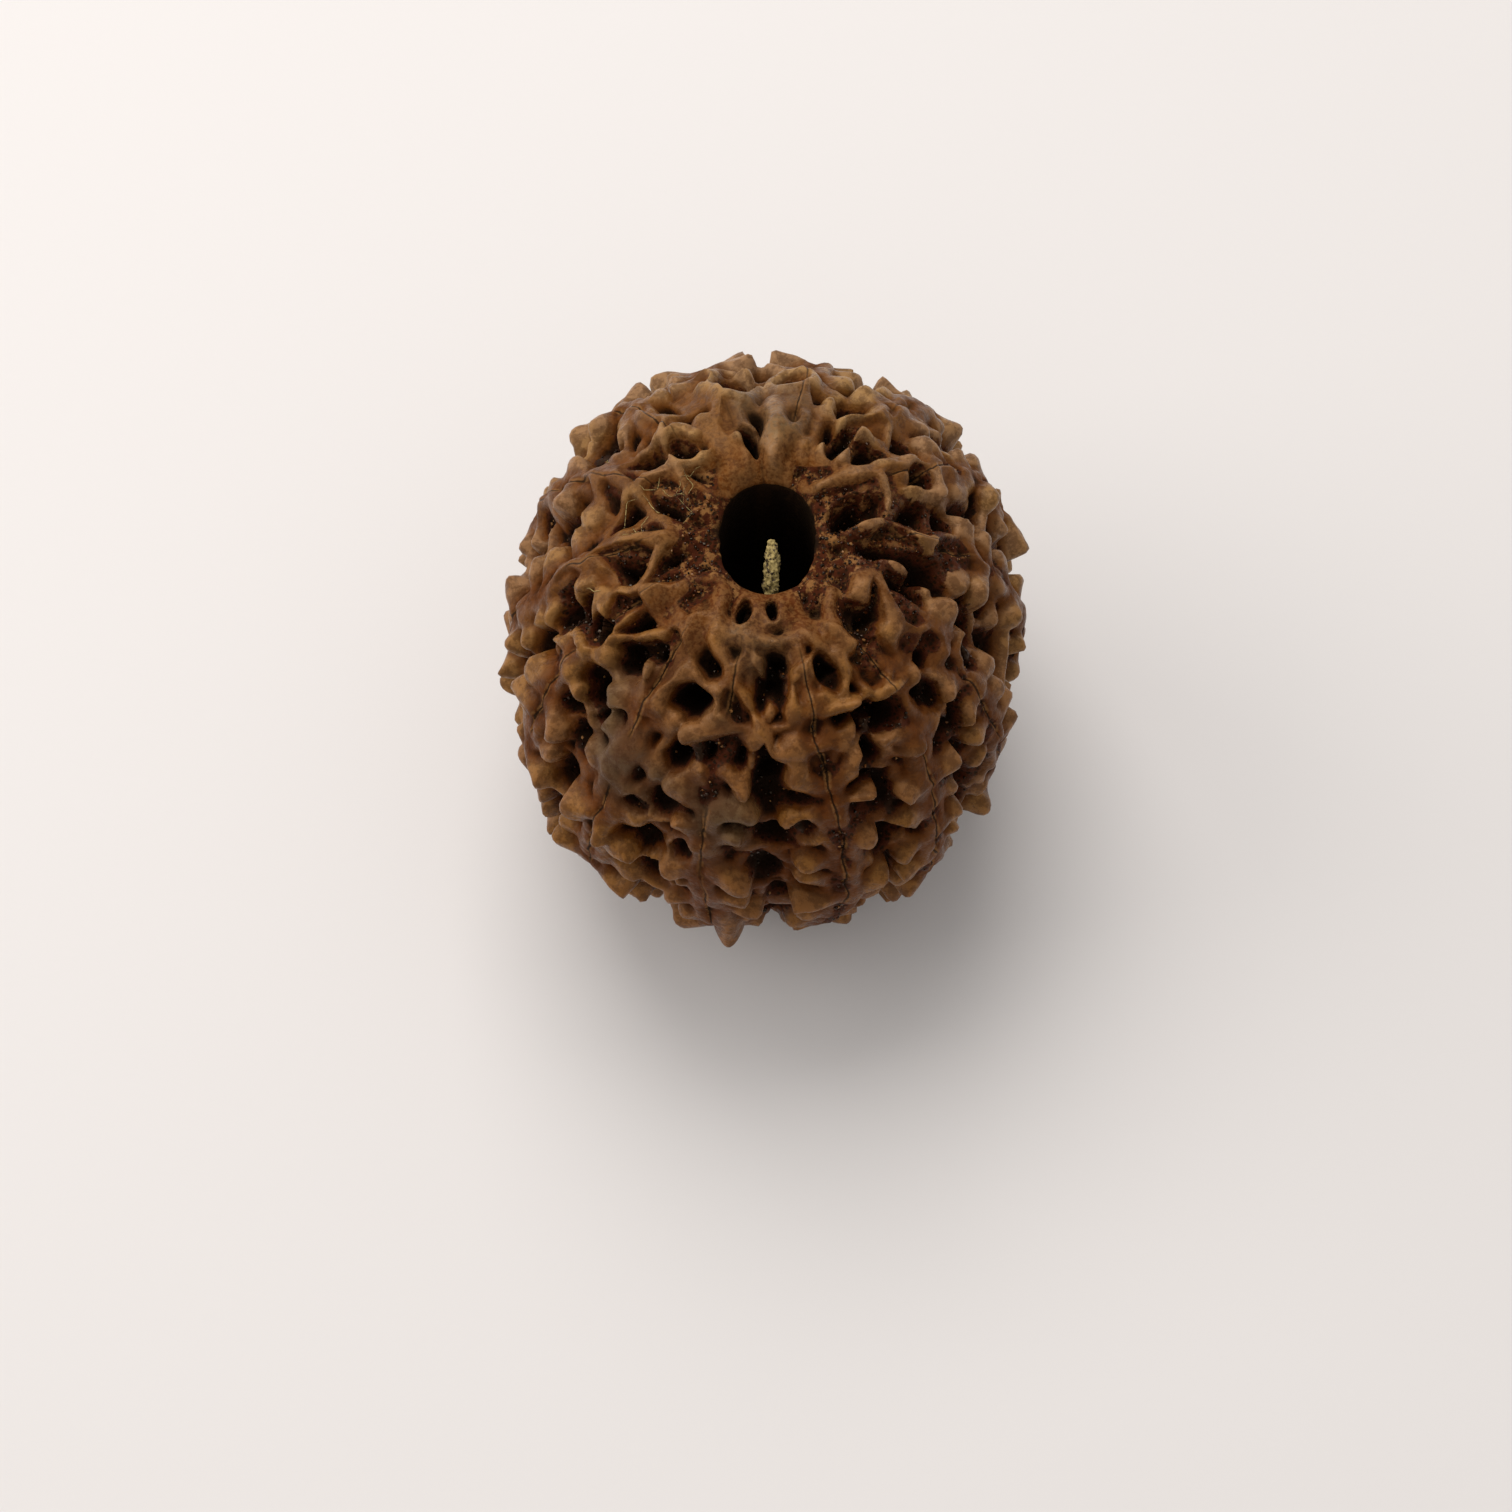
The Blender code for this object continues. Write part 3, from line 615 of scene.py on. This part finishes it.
def pulp_thickness(phi, past_lip):
    """Thickness of the dried pulp: less than nothing before and behind the mouth, where it is bare."""
    beside = np.maximum(-np.cos(2 * phi), 0) * ramp(past_lip, 12 * MM, 6 * MM)
    in_line = np.maximum(np.cos(2 * phi), 0) * ramp(past_lip, 7 * MM, 3 * MM)
    at_right = np.cos(phi - math.radians(60))
    thickness = PULP_THICKNESS + PULP_AT_RIGHT * at_right
    return thickness + PULP_BESIDE * beside + PULP_BEFORE_AND_BEHIND * in_line


def handled_share(meridian, point):
    """1 in the middle of a handled patch, 0 outside it."""
    handled = np.zeros(len(point))
    for azimuth, run, reach in HANDLED_PATCHES:
        middle = body_point(meridian, math.radians(azimuth), run * MM)[0]
        away = np.linalg.norm(point - middle, axis=1) / MM
        handled = np.maximum(handled, ramp(away, reach, 0.5 * reach))
    return handled


def stone_shape(meridian, phi, s):
    """Where each vertex of the knobbed stone lies, and what the material reads there."""
    size = sizes()
    draw = random.Random(SEED)
    relief = Relief(meridian)
    seam_ridges(relief, draw)
    knobs_and_bridges(relief, draw)
    mouth_landmarks(relief)
    scattered_pits(relief, draw)
    point, normal = body_point(meridian, phi, s)
    face, across, width = face_place(meridian, phi, s)
    # Distance to the seam, with the sign of every other face turned so that it has no jump
    to_seam = np.where(face % 2, -1, 1) * width / math.pi * np.sin(math.pi * across)
    asked = point
    for wavelength, shift in WARPS:
        asked = warp(asked, wavelength, shift)
    past_lip = np.minimum(s, meridian.outside - s)
    valley = valley_floor(across, width)
    walls = net(asked)
    more = MOUTH_NET * ramp(past_lip, MOUTH_NET_REACH[1], MOUTH_NET_REACH[0])
    netted = (NET_HEIGHT + more) * walls - (NET_HOLLOW + more) * (1 - walls)
    floor = valley + ramp(past_lip, 0.8 * MM, 3.0 * MM) * netted
    height, lean, hollowed = raise_relief(asked, floor, relief)
    height += lumps(point, size.lump_size, size.lump_height)
    # Dried pulp lies in the low ground and in the pits, and makes them grainy
    above_pulp = height - valley + lumps(point, 1.7 * MM, 0.4 * MM) - pulp_thickness(phi, past_lip)
    bare = ramp(above_pulp, 0.5 * MM, 0.85 * MM) * (1 - 0.9 * hollowed)
    pulp = 1 - bare
    height += pulp * (lumps(point, *PULP_GRAIN) - 0.05 * MM) + bare * lumps(point, 0.6 * MM, 0.06 * MM)
    cracked = ramp(lumps(point, 5.0 * MM, 1.0), -0.12, 0.12) * ramp(past_lip, 2.5 * MM, 5.0 * MM)
    height -= CRACK_DEPTH * cracked * np.exp(-((to_seam / CRACK_WIDTH) ** 2))
    shown = ramp(past_lip, -0.3 * MM, 1.0 * MM)
    # A crust of pulp on both sides of the mouth makes its edge uneven
    crust = ramp(past_lip, -2.0 * MM, -0.6 * MM) * ramp(past_lip, 1.2 * MM, 0.2 * MM) * np.sin(phi) ** 2
    point += (crust * (CRUST_THICKNESS + lumps(point, 0.7 * MM, 0.26 * MM)))[:, None] * normal
    shape = point + shown[:, None] * (height[:, None] * normal + lean)
    marks = {
        "handled": handled_share(meridian, point),
        # Painted shade: how much a point faces the front, away from the lights behind, which darkens and
        # reddens it
        "front_shade": 0.58 + 0.42 * np.cos(phi + math.radians(5)),
        # Makes the painted shade of the bore reach unevenly past the lip at the sides
        "stray": lumps(point, 1.3 * MM, 1.5) * np.sin(phi) ** 2,
        "relief": (height - valley) / MM,
        "seam": to_seam / MM,
        "cracked": cracked,
        "pulp": pulp,
        "pit": hollowed,
        "past_lip": np.clip(past_lip / MM, -12, 12),
    }
    return shape, marks


def coordinates(mesh):
    """Where each vertex of a mesh is."""
    co = np.empty(3 * len(mesh.vertices))
    mesh.vertices.foreach_get("co", co)
    return co.reshape(-1, 3)


def finish_piece(piece, name, material):
    """Names a piece and its mesh, gives it its material, and puts it on the bead's one body."""
    piece.name = piece.data.name = name
    piece.data.materials.clear()
    piece.data.materials.append(material)
    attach(piece, "root")


def turned_grid(around, along):
    """A ring primitive cut twice as fine, and the azimuth and the share round its tube of each vertex."""
    bpy.ops.object.select_all(action="DESELECT")
    bpy.ops.mesh.primitive_torus_add(
        location=(0, 0, 0), major_segments=around, minor_segments=along, major_radius=2, minor_radius=1
    )
    ring = bpy.context.object
    bpy.ops.object.mode_set(mode="EDIT")
    bpy.ops.mesh.select_all(action="SELECT")
    bpy.ops.mesh.subdivide(number_cuts=1)
    bpy.ops.object.mode_set(mode="OBJECT")
    co = coordinates(ring.data)
    phi = np.arctan2(co[:, 0], -co[:, 1])
    tube = np.arctan2(co[:, 2], np.hypot(co[:, 0], co[:, 1]) - 2) / math.pi
    return ring, phi, tube


def run_of(meridian, tube):
    """The run along the meridian for a share round the ring's tube, 1 and -1 being the bore's waist."""
    outer = meridian.outside / 2 * (1 - tube / OUTER_SHARE)
    inner = (meridian.total - meridian.outside) / (2 * (1 - OUTER_SHARE))
    below = meridian.outside + inner * (-tube - OUTER_SHARE)
    above = meridian.total - inner * (tube - OUTER_SHARE)
    return np.where(tube < -OUTER_SHARE, below, np.where(tube > OUTER_SHARE, above, outer))


def gathered_at_seams(meridian, phi, s):
    """Moves even columns so that one lies in each seam and its neighbours are close beside it."""
    faces = len(SEAM_AZIMUTHS)
    place = (phi + math.pi) / (2 * math.pi) * faces
    place = np.round(place * COLUMNS_PER_FACE * 2) / (COLUMNS_PER_FACE * 2)
    index = np.floor(place).astype(int) % faces
    part_way = place - np.floor(place)
    eased = part_way - 0.5 * np.sin(2 * math.pi * part_way) / (2 * math.pi)
    share = np.clip(s / meridian.outside, 0, 1)
    seams = np.array([seam_azimuth(i, share) for i in range(faces)])
    here = seams[index, np.arange(len(phi))]
    following = seams[(index + 1) % faces, np.arange(len(phi))]
    return here + turn_between(here, following) * eased


def above_around(mesh, height, rounds):
    """How far each vertex stands above the mean of its surroundings."""
    ends = np.empty(len(mesh.edges) * 2, np.int32)
    mesh.edges.foreach_get("vertices", ends)
    one, other = ends[::2], ends[1::2]
    count = len(height)
    links = np.bincount(ends, minlength=count)
    around = height.copy()
    for _ in range(rounds):
        total = np.bincount(one, around[other], count) + np.bincount(other, around[one], count)
        around = (around + total / links) / 2
    return height - around


def add_marks(mesh, marks):
    """Keeps a number for each vertex, under its name, for the material to read."""
    for name, values in marks.items():
        layer = mesh.attributes.new(name, "FLOAT", "POINT")
        layer.data.foreach_set("value", values.astype(np.float32))


def add_node(material, kind, sockets=None, stops=(), **settings):
    """Adds a node. A socket gets a value, or a link from a node or from a (node, output) pair."""
    tree = material.node_tree
    node = tree.nodes.new(kind)
    for key, value in settings.items():
        setattr(node, key, value)
    for socket, value in (sockets or {}).items():
        source, output = value if isinstance(value, tuple) and len(value) == 2 else (value, 0)
        if isinstance(source, bpy.types.Node):
            tree.links.new(source.outputs[output], node.inputs[socket])
        else:
            node.inputs[socket].default_value = value
    for index, (position, colour) in enumerate(stops):
        elements = node.color_ramp.elements
        stop = elements[index] if index < len(elements) else elements.new(position)
        stop.position, stop.color = position, colour
    return node


def new_material(name):
    """An empty material, and the place on the piece that its patterns read."""
    material = bpy.data.materials.new(name)
    material.use_nodes = True
    material.node_tree.nodes.clear()
    return material, (add_node(material, "ShaderNodeTexCoord"), "Object")


# How the stone's marks and patterns are read, in mm where they are lengths. Each line is a name, an
# operation and its inputs, and reads what stands above it. LINEAR and SMOOTHSTEP turn a value between
# the first two numbers into one between the last two
STONE_STEPS = (
    # Height above the valley, mottled, and more where it stands above its surroundings; the darker low end is
    # partly painted shade
    ("level", "MULTIPLY_ADD", "mottle", 0.5, "relief"),
    ("level", "MULTIPLY_ADD", "rise", 1.7, "level"),
    ("height", "LINEAR", "level", 0.02, 2.62, 0, 1),
    # Painted shade with a redder tint: the front, away from the lights behind, is darker and redder than the
    # back
    ("skin", "MULTIPLY", "front_shade", 0.9),
    # Some ridges are a yellower tan than others, and handled ones are greyer
    ("yellow", "SMOOTHSTEP", "blotch", 0.46, 0.58, 0, 0.8),
    ("grey", "SMOOTHSTEP", "blotch", 0.34, 0.6, 0, 0.8),
    ("grey", "MULTIPLY", "grey", "handled"),
    # Grime lies in flecks of about half a millimetre
    ("grime", "SMOOTHSTEP", "flecks", 0.45, 0.57, 0, 0.5),
    # Ochre dust lies round the mouth and on the shoulders
    ("near_mouth", "SMOOTHSTEP", "past_lip", 8, 1, 0, 1),
    ("dust", "SMOOTHSTEP", "grain", 0.4, 0.6, 0, 0.42),
    ("dust", "MULTIPLY", "dust", "near_mouth"),
    # Dried pulp is red-brown crumbs with near-black between them, some tan, and ochre round the mouth
    ("red_crumbs", "SMOOTHSTEP", "crumb", 0.2, 0.55, 0, 1),
    ("tan_crumbs", "SMOOTHSTEP", "grain", 0.56, 0.72, 0, 0.45),
    ("ochre_crumbs", "SMOOTHSTEP", "flecks", 0.5, 0.6, 0, 0.8),
    ("ochre_crumbs", "MULTIPLY", "ochre_crumbs", "near_mouth"),
    # It covers the low ground, with a grainy edge
    ("covered", "MULTIPLY_ADD", "grain", 0.8, "pulp"),
    ("covered", "SMOOTHSTEP", "covered", 0.7, 1.02, 0, 1),
    ("pulp_share", "MULTIPLY", "covered", 0.93),
    # Painted shade: hollows beside higher ground are darkened towards the pit colour, more than open ground;
    # pits are dark all over
    ("hollow", "SMOOTHSTEP", "rise", 0, -0.42, 0, 0.85),
    ("sunk", "SMOOTHSTEP", "pit", 0.45, 0.95, 0, 0.8),
    # The seam is a swaying dark hairline with a paler, broken edge, and comes and goes
    ("sway", "MULTIPLY_ADD", "mottle", 0.3, -0.15),
    ("distance", "ADD", "seam", "sway"),
    ("distance", "ABSOLUTE", "distance"),
    ("broken", "SMOOTHSTEP", "flecks", 0.42, 0.56, 0, 0.55),
    ("edge", "SMOOTHSTEP", "distance", 0.18, 0.07, 0, 1),
    ("edge", "MULTIPLY", "edge", "broken"),
    ("edge", "MULTIPLY", "edge", "cracked"),
    ("line", "SMOOTHSTEP", "distance", 0.055, 0.025, 0, 0.85),
    ("line", "MULTIPLY", "line", "cracked"),
    # Painted shade: the bore is darkened to the pit colour from just inside the lip, reaching unevenly past
    # it at the sides
    ("inside", "ADD", "past_lip", "stray"),
    ("inside", "SMOOTHSTEP", "inside", 0.15, -0.5, 0, 0.94),
    # Handling polished the high ground; the low ground is matt
    ("polish", "SMOOTHSTEP", "height", 0.3, 0.75, 0.9, 0.33),
    ("roughness", "SMOOTHSTEP", "grain", 0.3, 0.7, -0.08, 0.16),
    ("roughness", "ADD", "polish", "roughness"),
    # The bump is grain all over, and crumbs where the pulp lies
    ("bump", "MULTIPLY_ADD", "crumb", "covered", "grain"),
)
# What is laid over what, from the lowest layer up: (under, share, colour, blend)
STONE_LAYERS = (
    ("crumbs", "red_crumbs", "pulp", "MIX"),
    ("crumbs", "tan_crumbs", "flank", "MIX"),
    ("crumbs", "ochre_crumbs", "dust", "MIX"),
    ("stone", "skin", FRONT_SHADE_GAIN, "MULTIPLY"),
    ("stone", "yellow", YELLOW_GAIN, "MULTIPLY"),
    ("stone", "grey", "grey", "MIX"),
    ("stone", "grime", "grime", "MIX"),
    ("stone", "dust", "dust", "MIX"),
    ("stone", "pulp_share", "crumbs", "MIX"),
    ("stone", "hollow", "pit", "MIX"),
    ("stone", "sunk", "pit", "MIX"),
    ("stone", "edge", "dust", "MIX"),
    ("stone", "line", "pit", "MIX"),
    ("stone", "inside", "pit", "MIX"),
)
# From the low ground to the worn tips, by height: the paler tips are real wear, the darker low ground is
# partly painted shade
STONE_STOPS = ((0.1, "hollow"), (0.4, "flank"), (0.78, "ridge"), (1.0, "worn"))


def stone_material():
    """Hard fruit stone, dried and handled: waxy tan on the ridges, granular red-brown in the pits."""
    tint = tints()
    m, at = new_material("dried_fruit_stone")
    value = {name: (add_node(m, "ShaderNodeAttribute", attribute_name=name), "Fac") for name in STONE_MARKS}
    for name, (spot, detail, roughness) in STONE_NOISE.items():
        sockets = {"Vector": at, "Scale": 1 / spot, "Detail": detail, "Roughness": roughness}
        value[name] = add_node(m, "ShaderNodeTexNoise", sockets)
    value["crumb"] = add_node(m, "ShaderNodeTexVoronoi", {"Vector": at, "Scale": 1 / CRUMB_SPOT})
    for name, operation, *inputs in STONE_STEPS:
        sockets = {index: value.get(item, item) for index, item in enumerate(inputs)}
        if operation in ("LINEAR", "SMOOTHSTEP"):
            value[name] = add_node(m, "ShaderNodeMapRange", sockets, interpolation_type=operation)
        else:
            value[name] = add_node(m, "ShaderNodeMath", sockets, operation=operation)
    stops = [(position, tint[name]) for position, name in STONE_STOPS]
    base = add_node(m, "ShaderNodeValToRGB", {0: value["height"]}, stops)
    laid = {**tint, "crumbs": tint["pit"], "stone": base}
    for under, share, over, blend in STONE_LAYERS:
        sockets = {0: value[share], 6: laid[under], 7: laid.get(over, over)}
        laid[under] = (add_node(m, "ShaderNodeMix", sockets, data_type="RGBA", blend_type=blend), 2)
    bump = add_node(m, "ShaderNodeBump", {"Strength": 0.6, "Distance": 0.09 * MM, "Height": value["bump"]})
    sockets = {
        "Base Color": laid["stone"],
        "Roughness": value["roughness"],
        "IOR": 1.5,
        "Specular IOR Level": 0.24,
        "Specular Tint": (*linear(STONE_SHEEN), 1),
        "Normal": bump,
    }
    add_node(m, "ShaderNodeOutputMaterial", {0: add_node(m, "ShaderNodeBsdfPrincipled", sockets)})
    return m


class BEAD_OT_stone(bpy.types.Operator):
    """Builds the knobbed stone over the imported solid."""

    bl_idname = "bead.stone"
    bl_label = "Knobbed Stone"

    def execute(self, context):
        meridian = Meridian()
        stone, phi, tube = turned_grid(COLUMNS_PER_FACE * len(SEAM_AZIMUTHS), ROWS)
        s = run_of(meridian, tube)
        phi = gathered_at_seams(meridian, phi, s)
        co, marks = stone_shape(meridian, phi, s)
        # How far each vertex stands above its surroundings, which the material uses to paint shade into the
        # hollows
        marks["rise"] = above_around(stone.data, marks["relief"], RISE_ROUNDS)
        co -= STANDING_POINT
        co[:, 2] = np.maximum(co[:, 2], 0)
        stone.data.vertices.foreach_set("co", co.ravel())
        add_marks(stone.data, marks)
        stone.data.update()
        thin = stone.modifiers.new("fewer faces", "DECIMATE")
        thin.ratio = min(sizes().triangles / (2 * len(co)), 1)
        bpy.ops.object.modifier_apply(modifier=thin.name)
        # Thinning can leave a vertex a few microns under the floor
        thinned = coordinates(stone.data)
        thinned[:, 2] = np.maximum(thinned[:, 2], 0)
        stone.data.vertices.foreach_set("co", thinned.ravel())
        stone.data.shade_smooth()
        finish_piece(stone, "knobbed_stone", stone_material())
        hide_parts("bead_stone")
        return {"FINISHED"}


def crumb_material():
    """Crumbs of dried pulp: dark red-brown with a resinous glint, some of them ochre."""
    tint = tints()
    m, at = new_material("dried_pulp")
    tone = (add_node(m, "ShaderNodeAttribute", attribute_name="tone"), "Fac")
    speck = add_node(m, "ShaderNodeTexNoise", {"Vector": at, "Scale": 1 / CRUMB_SPECK_SPOT, "Detail": 2})
    specked = add_node(m, "ShaderNodeMath", {0: speck, 1: 0.5, 2: tone}, operation="MULTIPLY_ADD")
    share = add_node(m, "ShaderNodeMath", {0: specked, 1: TONE_SPAN}, operation="DIVIDE")
    tones = ((0.25, "pit"), (0.7, "pulp"), (1.05, "flank"), (1.2, "dust"))
    stops = [(position / TONE_SPAN, tint[name]) for position, name in tones]
    base = add_node(m, "ShaderNodeValToRGB", {0: share}, stops)
    rough = add_node(m, "ShaderNodeMapRange", {0: speck, 3: 0.12, 4: 0.4})
    sockets = {
        "Base Color": base,
        "Roughness": rough,
        "Specular IOR Level": 0.4,
        "Specular Tint": (*linear(PULP_SHEEN), 1),
    }
    add_node(m, "ShaderNodeOutputMaterial", {0: add_node(m, "ShaderNodeBsdfPrincipled", sockets)})
    return m


def fibre_material():
    """Dried plant fibre: straw-coloured, matt, with dark flecks."""
    tint = tints()
    m, at = new_material("dried_fibre")
    sockets = {"Vector": at, "Scale": 1 / FIBRE_FLECK_SPOT, "Detail": 4, "Roughness": 0.7}
    fleck = add_node(m, "ShaderNodeTexNoise", sockets)
    stops = ((0.42, tint["fleck"]), (0.5, tint["fibre"]))
    base = add_node(m, "ShaderNodeValToRGB", {0: fleck}, stops)
    bump = add_node(m, "ShaderNodeBump", {"Strength": 0.6, "Distance": 0.08 * MM, "Height": fleck})
    sockets = {"Base Color": base, "Roughness": 0.75, "Normal": bump}
    add_node(m, "ShaderNodeOutputMaterial", {0: add_node(m, "ShaderNodeBsdfPrincipled", sockets)})
    return m


def card_material():
    """Matt card, uncoated and a little rough: it throws back an even, pale light."""
    m, at = new_material("matt_white_card")
    speck = add_node(m, "ShaderNodeTexNoise", {"Vector": at, "Scale": 1 / CARD_SPOT, "Detail": 2})
    bump = add_node(m, "ShaderNodeBump", {"Strength": 0.05, "Distance": 0.1 * MM, "Height": speck})
    sockets = {"Base Color": tints()["floor"], "Roughness": 0.7, "Normal": bump}
    add_node(m, "ShaderNodeOutputMaterial", {0: add_node(m, "ShaderNodeBsdfPrincipled", sockets)})
    return m


class BEAD_OT_crumbs(bpy.types.Operator):
    """Strews crumbs of dried pulp over the low ground of the stone."""

    bl_idname = "bead.crumbs"
    bl_label = "Dried Pulp"

    def execute(self, context):
        mesh = bpy.data.objects["knobbed_stone"].data
        co = coordinates(mesh)
        normal = np.empty(co.size)
        mesh.vertices.foreach_get("normal", normal)
        normal = normal.reshape(-1, 3)
        pulp, past_lip = np.empty((2, len(co)), np.float32)
        mesh.attributes["pulp"].data.foreach_get("value", pulp)
        mesh.attributes["past_lip"].data.foreach_get("value", past_lip)
        clear = (past_lip > CRUMB_PAST_LIP) & (co[:, 2] > CRUMB_ABOVE_FLOOR)
        free = np.nonzero((pulp > CRUMB_PULP) & clear)[0]
        draw = np.random.default_rng(SEED)
        seats = draw.choice(free, sizes().crumbs, replace=False)
        bpy.ops.object.select_all(action="DESELECT")
        bpy.ops.mesh.primitive_ico_sphere_add(subdivisions=1, radius=1, location=(0, 0, 0))
        grain = context.object
        shape = coordinates(grain.data)
        faces = np.array([face.vertices for face in grain.data.polygons])
        points, tones = [], []
        for seat in seats:
            radius = draw.uniform(*CRUMB_RADIUS)
            turn = Matrix.Rotation(draw.uniform(0, 6.3), 3, Vector(draw.normal(size=3)))
            turned = shape @ np.array(turn)
            turned = turned * draw.uniform(0.7, 1.3, 3) + draw.normal(0, 0.12, shape.shape)
            points.append(co[seat] + normal[seat] * radius * CRUMB_STAND + radius * turned)
            tones.append(np.full(len(shape), draw.random() ** 3.0))
        firsts = len(shape) * np.arange(len(seats))
        crumbs = bpy.data.meshes.new("dried_pulp")
        crumbs.from_pydata(
            np.concatenate(points).tolist(), [], (faces + firsts[:, None, None]).reshape(-1, 3).tolist()
        )
        add_marks(crumbs, {"tone": np.concatenate(tones)})
        grain.data = crumbs
        finish_piece(grain, "dried_pulp", crumb_material())
        return {"FINISHED"}


def strand(path, radius, sides, rings):
    """A ball primitive drawn out along a path into a strand with blunt ends."""
    bpy.ops.object.select_all(action="DESELECT")
    bpy.ops.mesh.primitive_uv_sphere_add(segments=sides, ring_count=rings, radius=1, location=(0, 0, 0))
    obj = bpy.context.object
    co = coordinates(obj.data)
    share = np.arccos(np.clip(co[:, 2], -1, 1)) / math.pi
    around = np.arctan2(co[:, 1], co[:, 0])
    path = np.array(path)
    run = np.concatenate([[0], np.cumsum(np.linalg.norm(np.diff(path, axis=0), axis=1))])
    fine = np.linspace(0, run[-1], 200)
    line = np.column_stack([np.interp(fine, run, path[:, i]) for i in range(3)])
    for _ in range(30):
        line[1:-1] = (line[:-2] + 2 * line[1:-1] + line[2:]) / 4
    at = share * (len(line) - 1)
    centre, ahead = (
        np.column_stack([np.interp(at, np.arange(len(line)), rows[:, i]) for i in range(3)])
        for rows in (line, np.gradient(line, axis=0))
    )
    ahead /= np.linalg.norm(ahead, axis=1)[:, None]
    side = np.cross(ahead, (0.3, 0.1, 1.0))
    side /= np.linalg.norm(side, axis=1)[:, None]
    other = np.cross(ahead, side)
    ribs = 1 + 0.1 * np.cos(5 * around + 9 * share) + 0.06 * np.cos(11 * around - 14 * share)
    wide = radius * np.sin(math.pi * np.clip(share, 0.001, 0.999)) ** 0.35 * ribs * (1 - 0.25 * share)
    out = np.cos(around)[:, None] * side + np.sin(around)[:, None] * other
    co = centre + wide[:, None] * out
    co += (lumps(co, 0.35 * MM, 0.3 * radius) + lumps(co, 0.16 * MM, 0.2 * radius))[:, None] * out
    obj.data.vertices.foreach_set("co", co.ravel())
    obj.data.update()
    obj.data.shade_smooth()
    return obj


class BEAD_OT_fibres(bpy.types.Operator):
    """Stands the dried strand in the mouth and lays loose hairs beside it."""

    bl_idname = "bead.fibres"
    bl_label = "Dried Fibres"

    def execute(self, context):
        meridian = Meridian()
        middle = np.array([0, 0, meridian.at(0)[1]]) - STANDING_POINT
        path = [middle + np.array(point) * MM for point in FIBRE_PATH]
        material = fibre_material()
        finish_piece(strand(path, sizes().fibre_radius, 48, 110), "mouth_fibre", material)

        stone = bpy.data.objects["knobbed_stone"]
        draw = random.Random(SEED)
        hairs = []
        for _ in range(HAIR_COUNT):
            phi = math.radians(draw.uniform(*HAIR_AZIMUTHS))
            run = draw.uniform(*HAIR_RUNS) * MM
            heading = draw.uniform(0, 2 * math.pi)
            path = []
            for _ in range(HAIR_STEPS):
                heading += draw.uniform(-0.5, 0.5)
                phi += HAIR_STEP * math.cos(heading) / (run + 2 * MM)
                run += HAIR_STEP * math.sin(heading)
                point, out = body_point(meridian, phi, run)
                above = Vector(point + KNOB_TOPS * out - STANDING_POINT)
                _, on, out, _ = stone.closest_point_on_mesh(above)
                path.append(on + out * HAIR_ABOVE)
            hairs.append(strand(path, draw.uniform(*HAIR_RADIUS) * MM, 6, 14))
        for hair in hairs:
            hair.select_set(True)
        bpy.ops.object.join()
        finish_piece(context.object, "loose_fibres", material)
        return {"FINISHED"}


class BEAD_OT_studio(bpy.types.Operator):
    """Lays the pale floor and sets the soft lights and the camera."""

    bl_idname = "bead.studio"
    bl_label = "Studio"

    def execute(self, context):
        scene = context.scene
        bpy.ops.object.select_all(action="DESELECT")
        bpy.ops.mesh.primitive_plane_add(size=3, location=(0, 0, 0))
        floor = context.object
        floor.name = "floor"
        floor.data.materials.append(card_material())

        world = scene.world or bpy.data.worlds.new("studio")
        scene.world = world
        world.use_nodes = True
        backdrop = world.node_tree.nodes["Background"]
        backdrop.inputs["Color"].default_value = (1, 1, 1, 1)
        backdrop.inputs["Strength"].default_value = SKY_STRENGTH

        middle = Vector(BEAD_MIDDLE)
        for name, place, wide, power in LIGHTS:
            lamp = bpy.data.lights.new(name, "AREA")
            lamp.energy = power
            lamp.color = (1, 0.98, 0.96)
            lamp.size = wide
            light = bpy.data.objects.new(name, lamp)
            light.location = place
            light.rotation_euler = (middle - light.location).to_track_quat("-Z", "Y").to_euler()
            scene.collection.objects.link(light)

        camera = bpy.data.cameras.new("camera")
        camera.lens = 85
        camera.sensor_width = 36
        camera.clip_start = 0.01
        holder = bpy.data.objects.new("camera", camera)
        scene.collection.objects.link(holder)
        elevation = math.radians(CAMERA_ELEVATION)
        away = Vector((0, -math.cos(elevation), math.sin(elevation)))
        up = Vector((0, math.sin(elevation), math.cos(elevation)))
        pixel = SEEN_WIDTH / PHOTO_SIDE
        aim = middle - Vector((1, 0, 0)) * BEAD_RIGHT * pixel - up * BEAD_ABOVE * pixel
        holder.location = aim + away * SEEN_WIDTH * camera.lens / camera.sensor_width
        holder.rotation_euler = (-away).to_track_quat("-Z", "Y").to_euler()
        scene.camera = holder
        scene.view_settings.view_transform = "Standard"
        return {"FINISHED"}


class BEAD_PT_panel(bpy.types.Panel):
    """Lists the steps that build the bead."""

    bl_label = "Rudraksha Bead"
    bl_idname = "BEAD_PT_panel"
    bl_space_type = "VIEW_3D"
    bl_region_type = "UI"
    bl_category = "Bead"

    def draw(self, context):
        for operator in OPERATORS:
            self.layout.operator(operator.bl_idname)


OPERATORS = (BEAD_OT_stone, BEAD_OT_crumbs, BEAD_OT_fibres, BEAD_OT_studio)
CLASSES = (BeadSizes, BeadColours, *OPERATORS, BEAD_PT_panel)


def register():
    for cls in CLASSES:
        bpy.utils.register_class(cls)
    bpy.types.Scene.bead_sizes = PointerProperty(type=BeadSizes)
    bpy.types.Scene.bead_colours = PointerProperty(type=BeadColours)


def unregister():
    del bpy.types.Scene.bead_colours
    del bpy.types.Scene.bead_sizes
    for cls in reversed(CLASSES):
        bpy.utils.unregister_class(cls)


def main():
    register()
    bpy.ops.bead.stone()
    bpy.ops.bead.crumbs()
    bpy.ops.bead.fibres()
    bpy.ops.bead.studio()


if __name__ == "__main__":
    main()
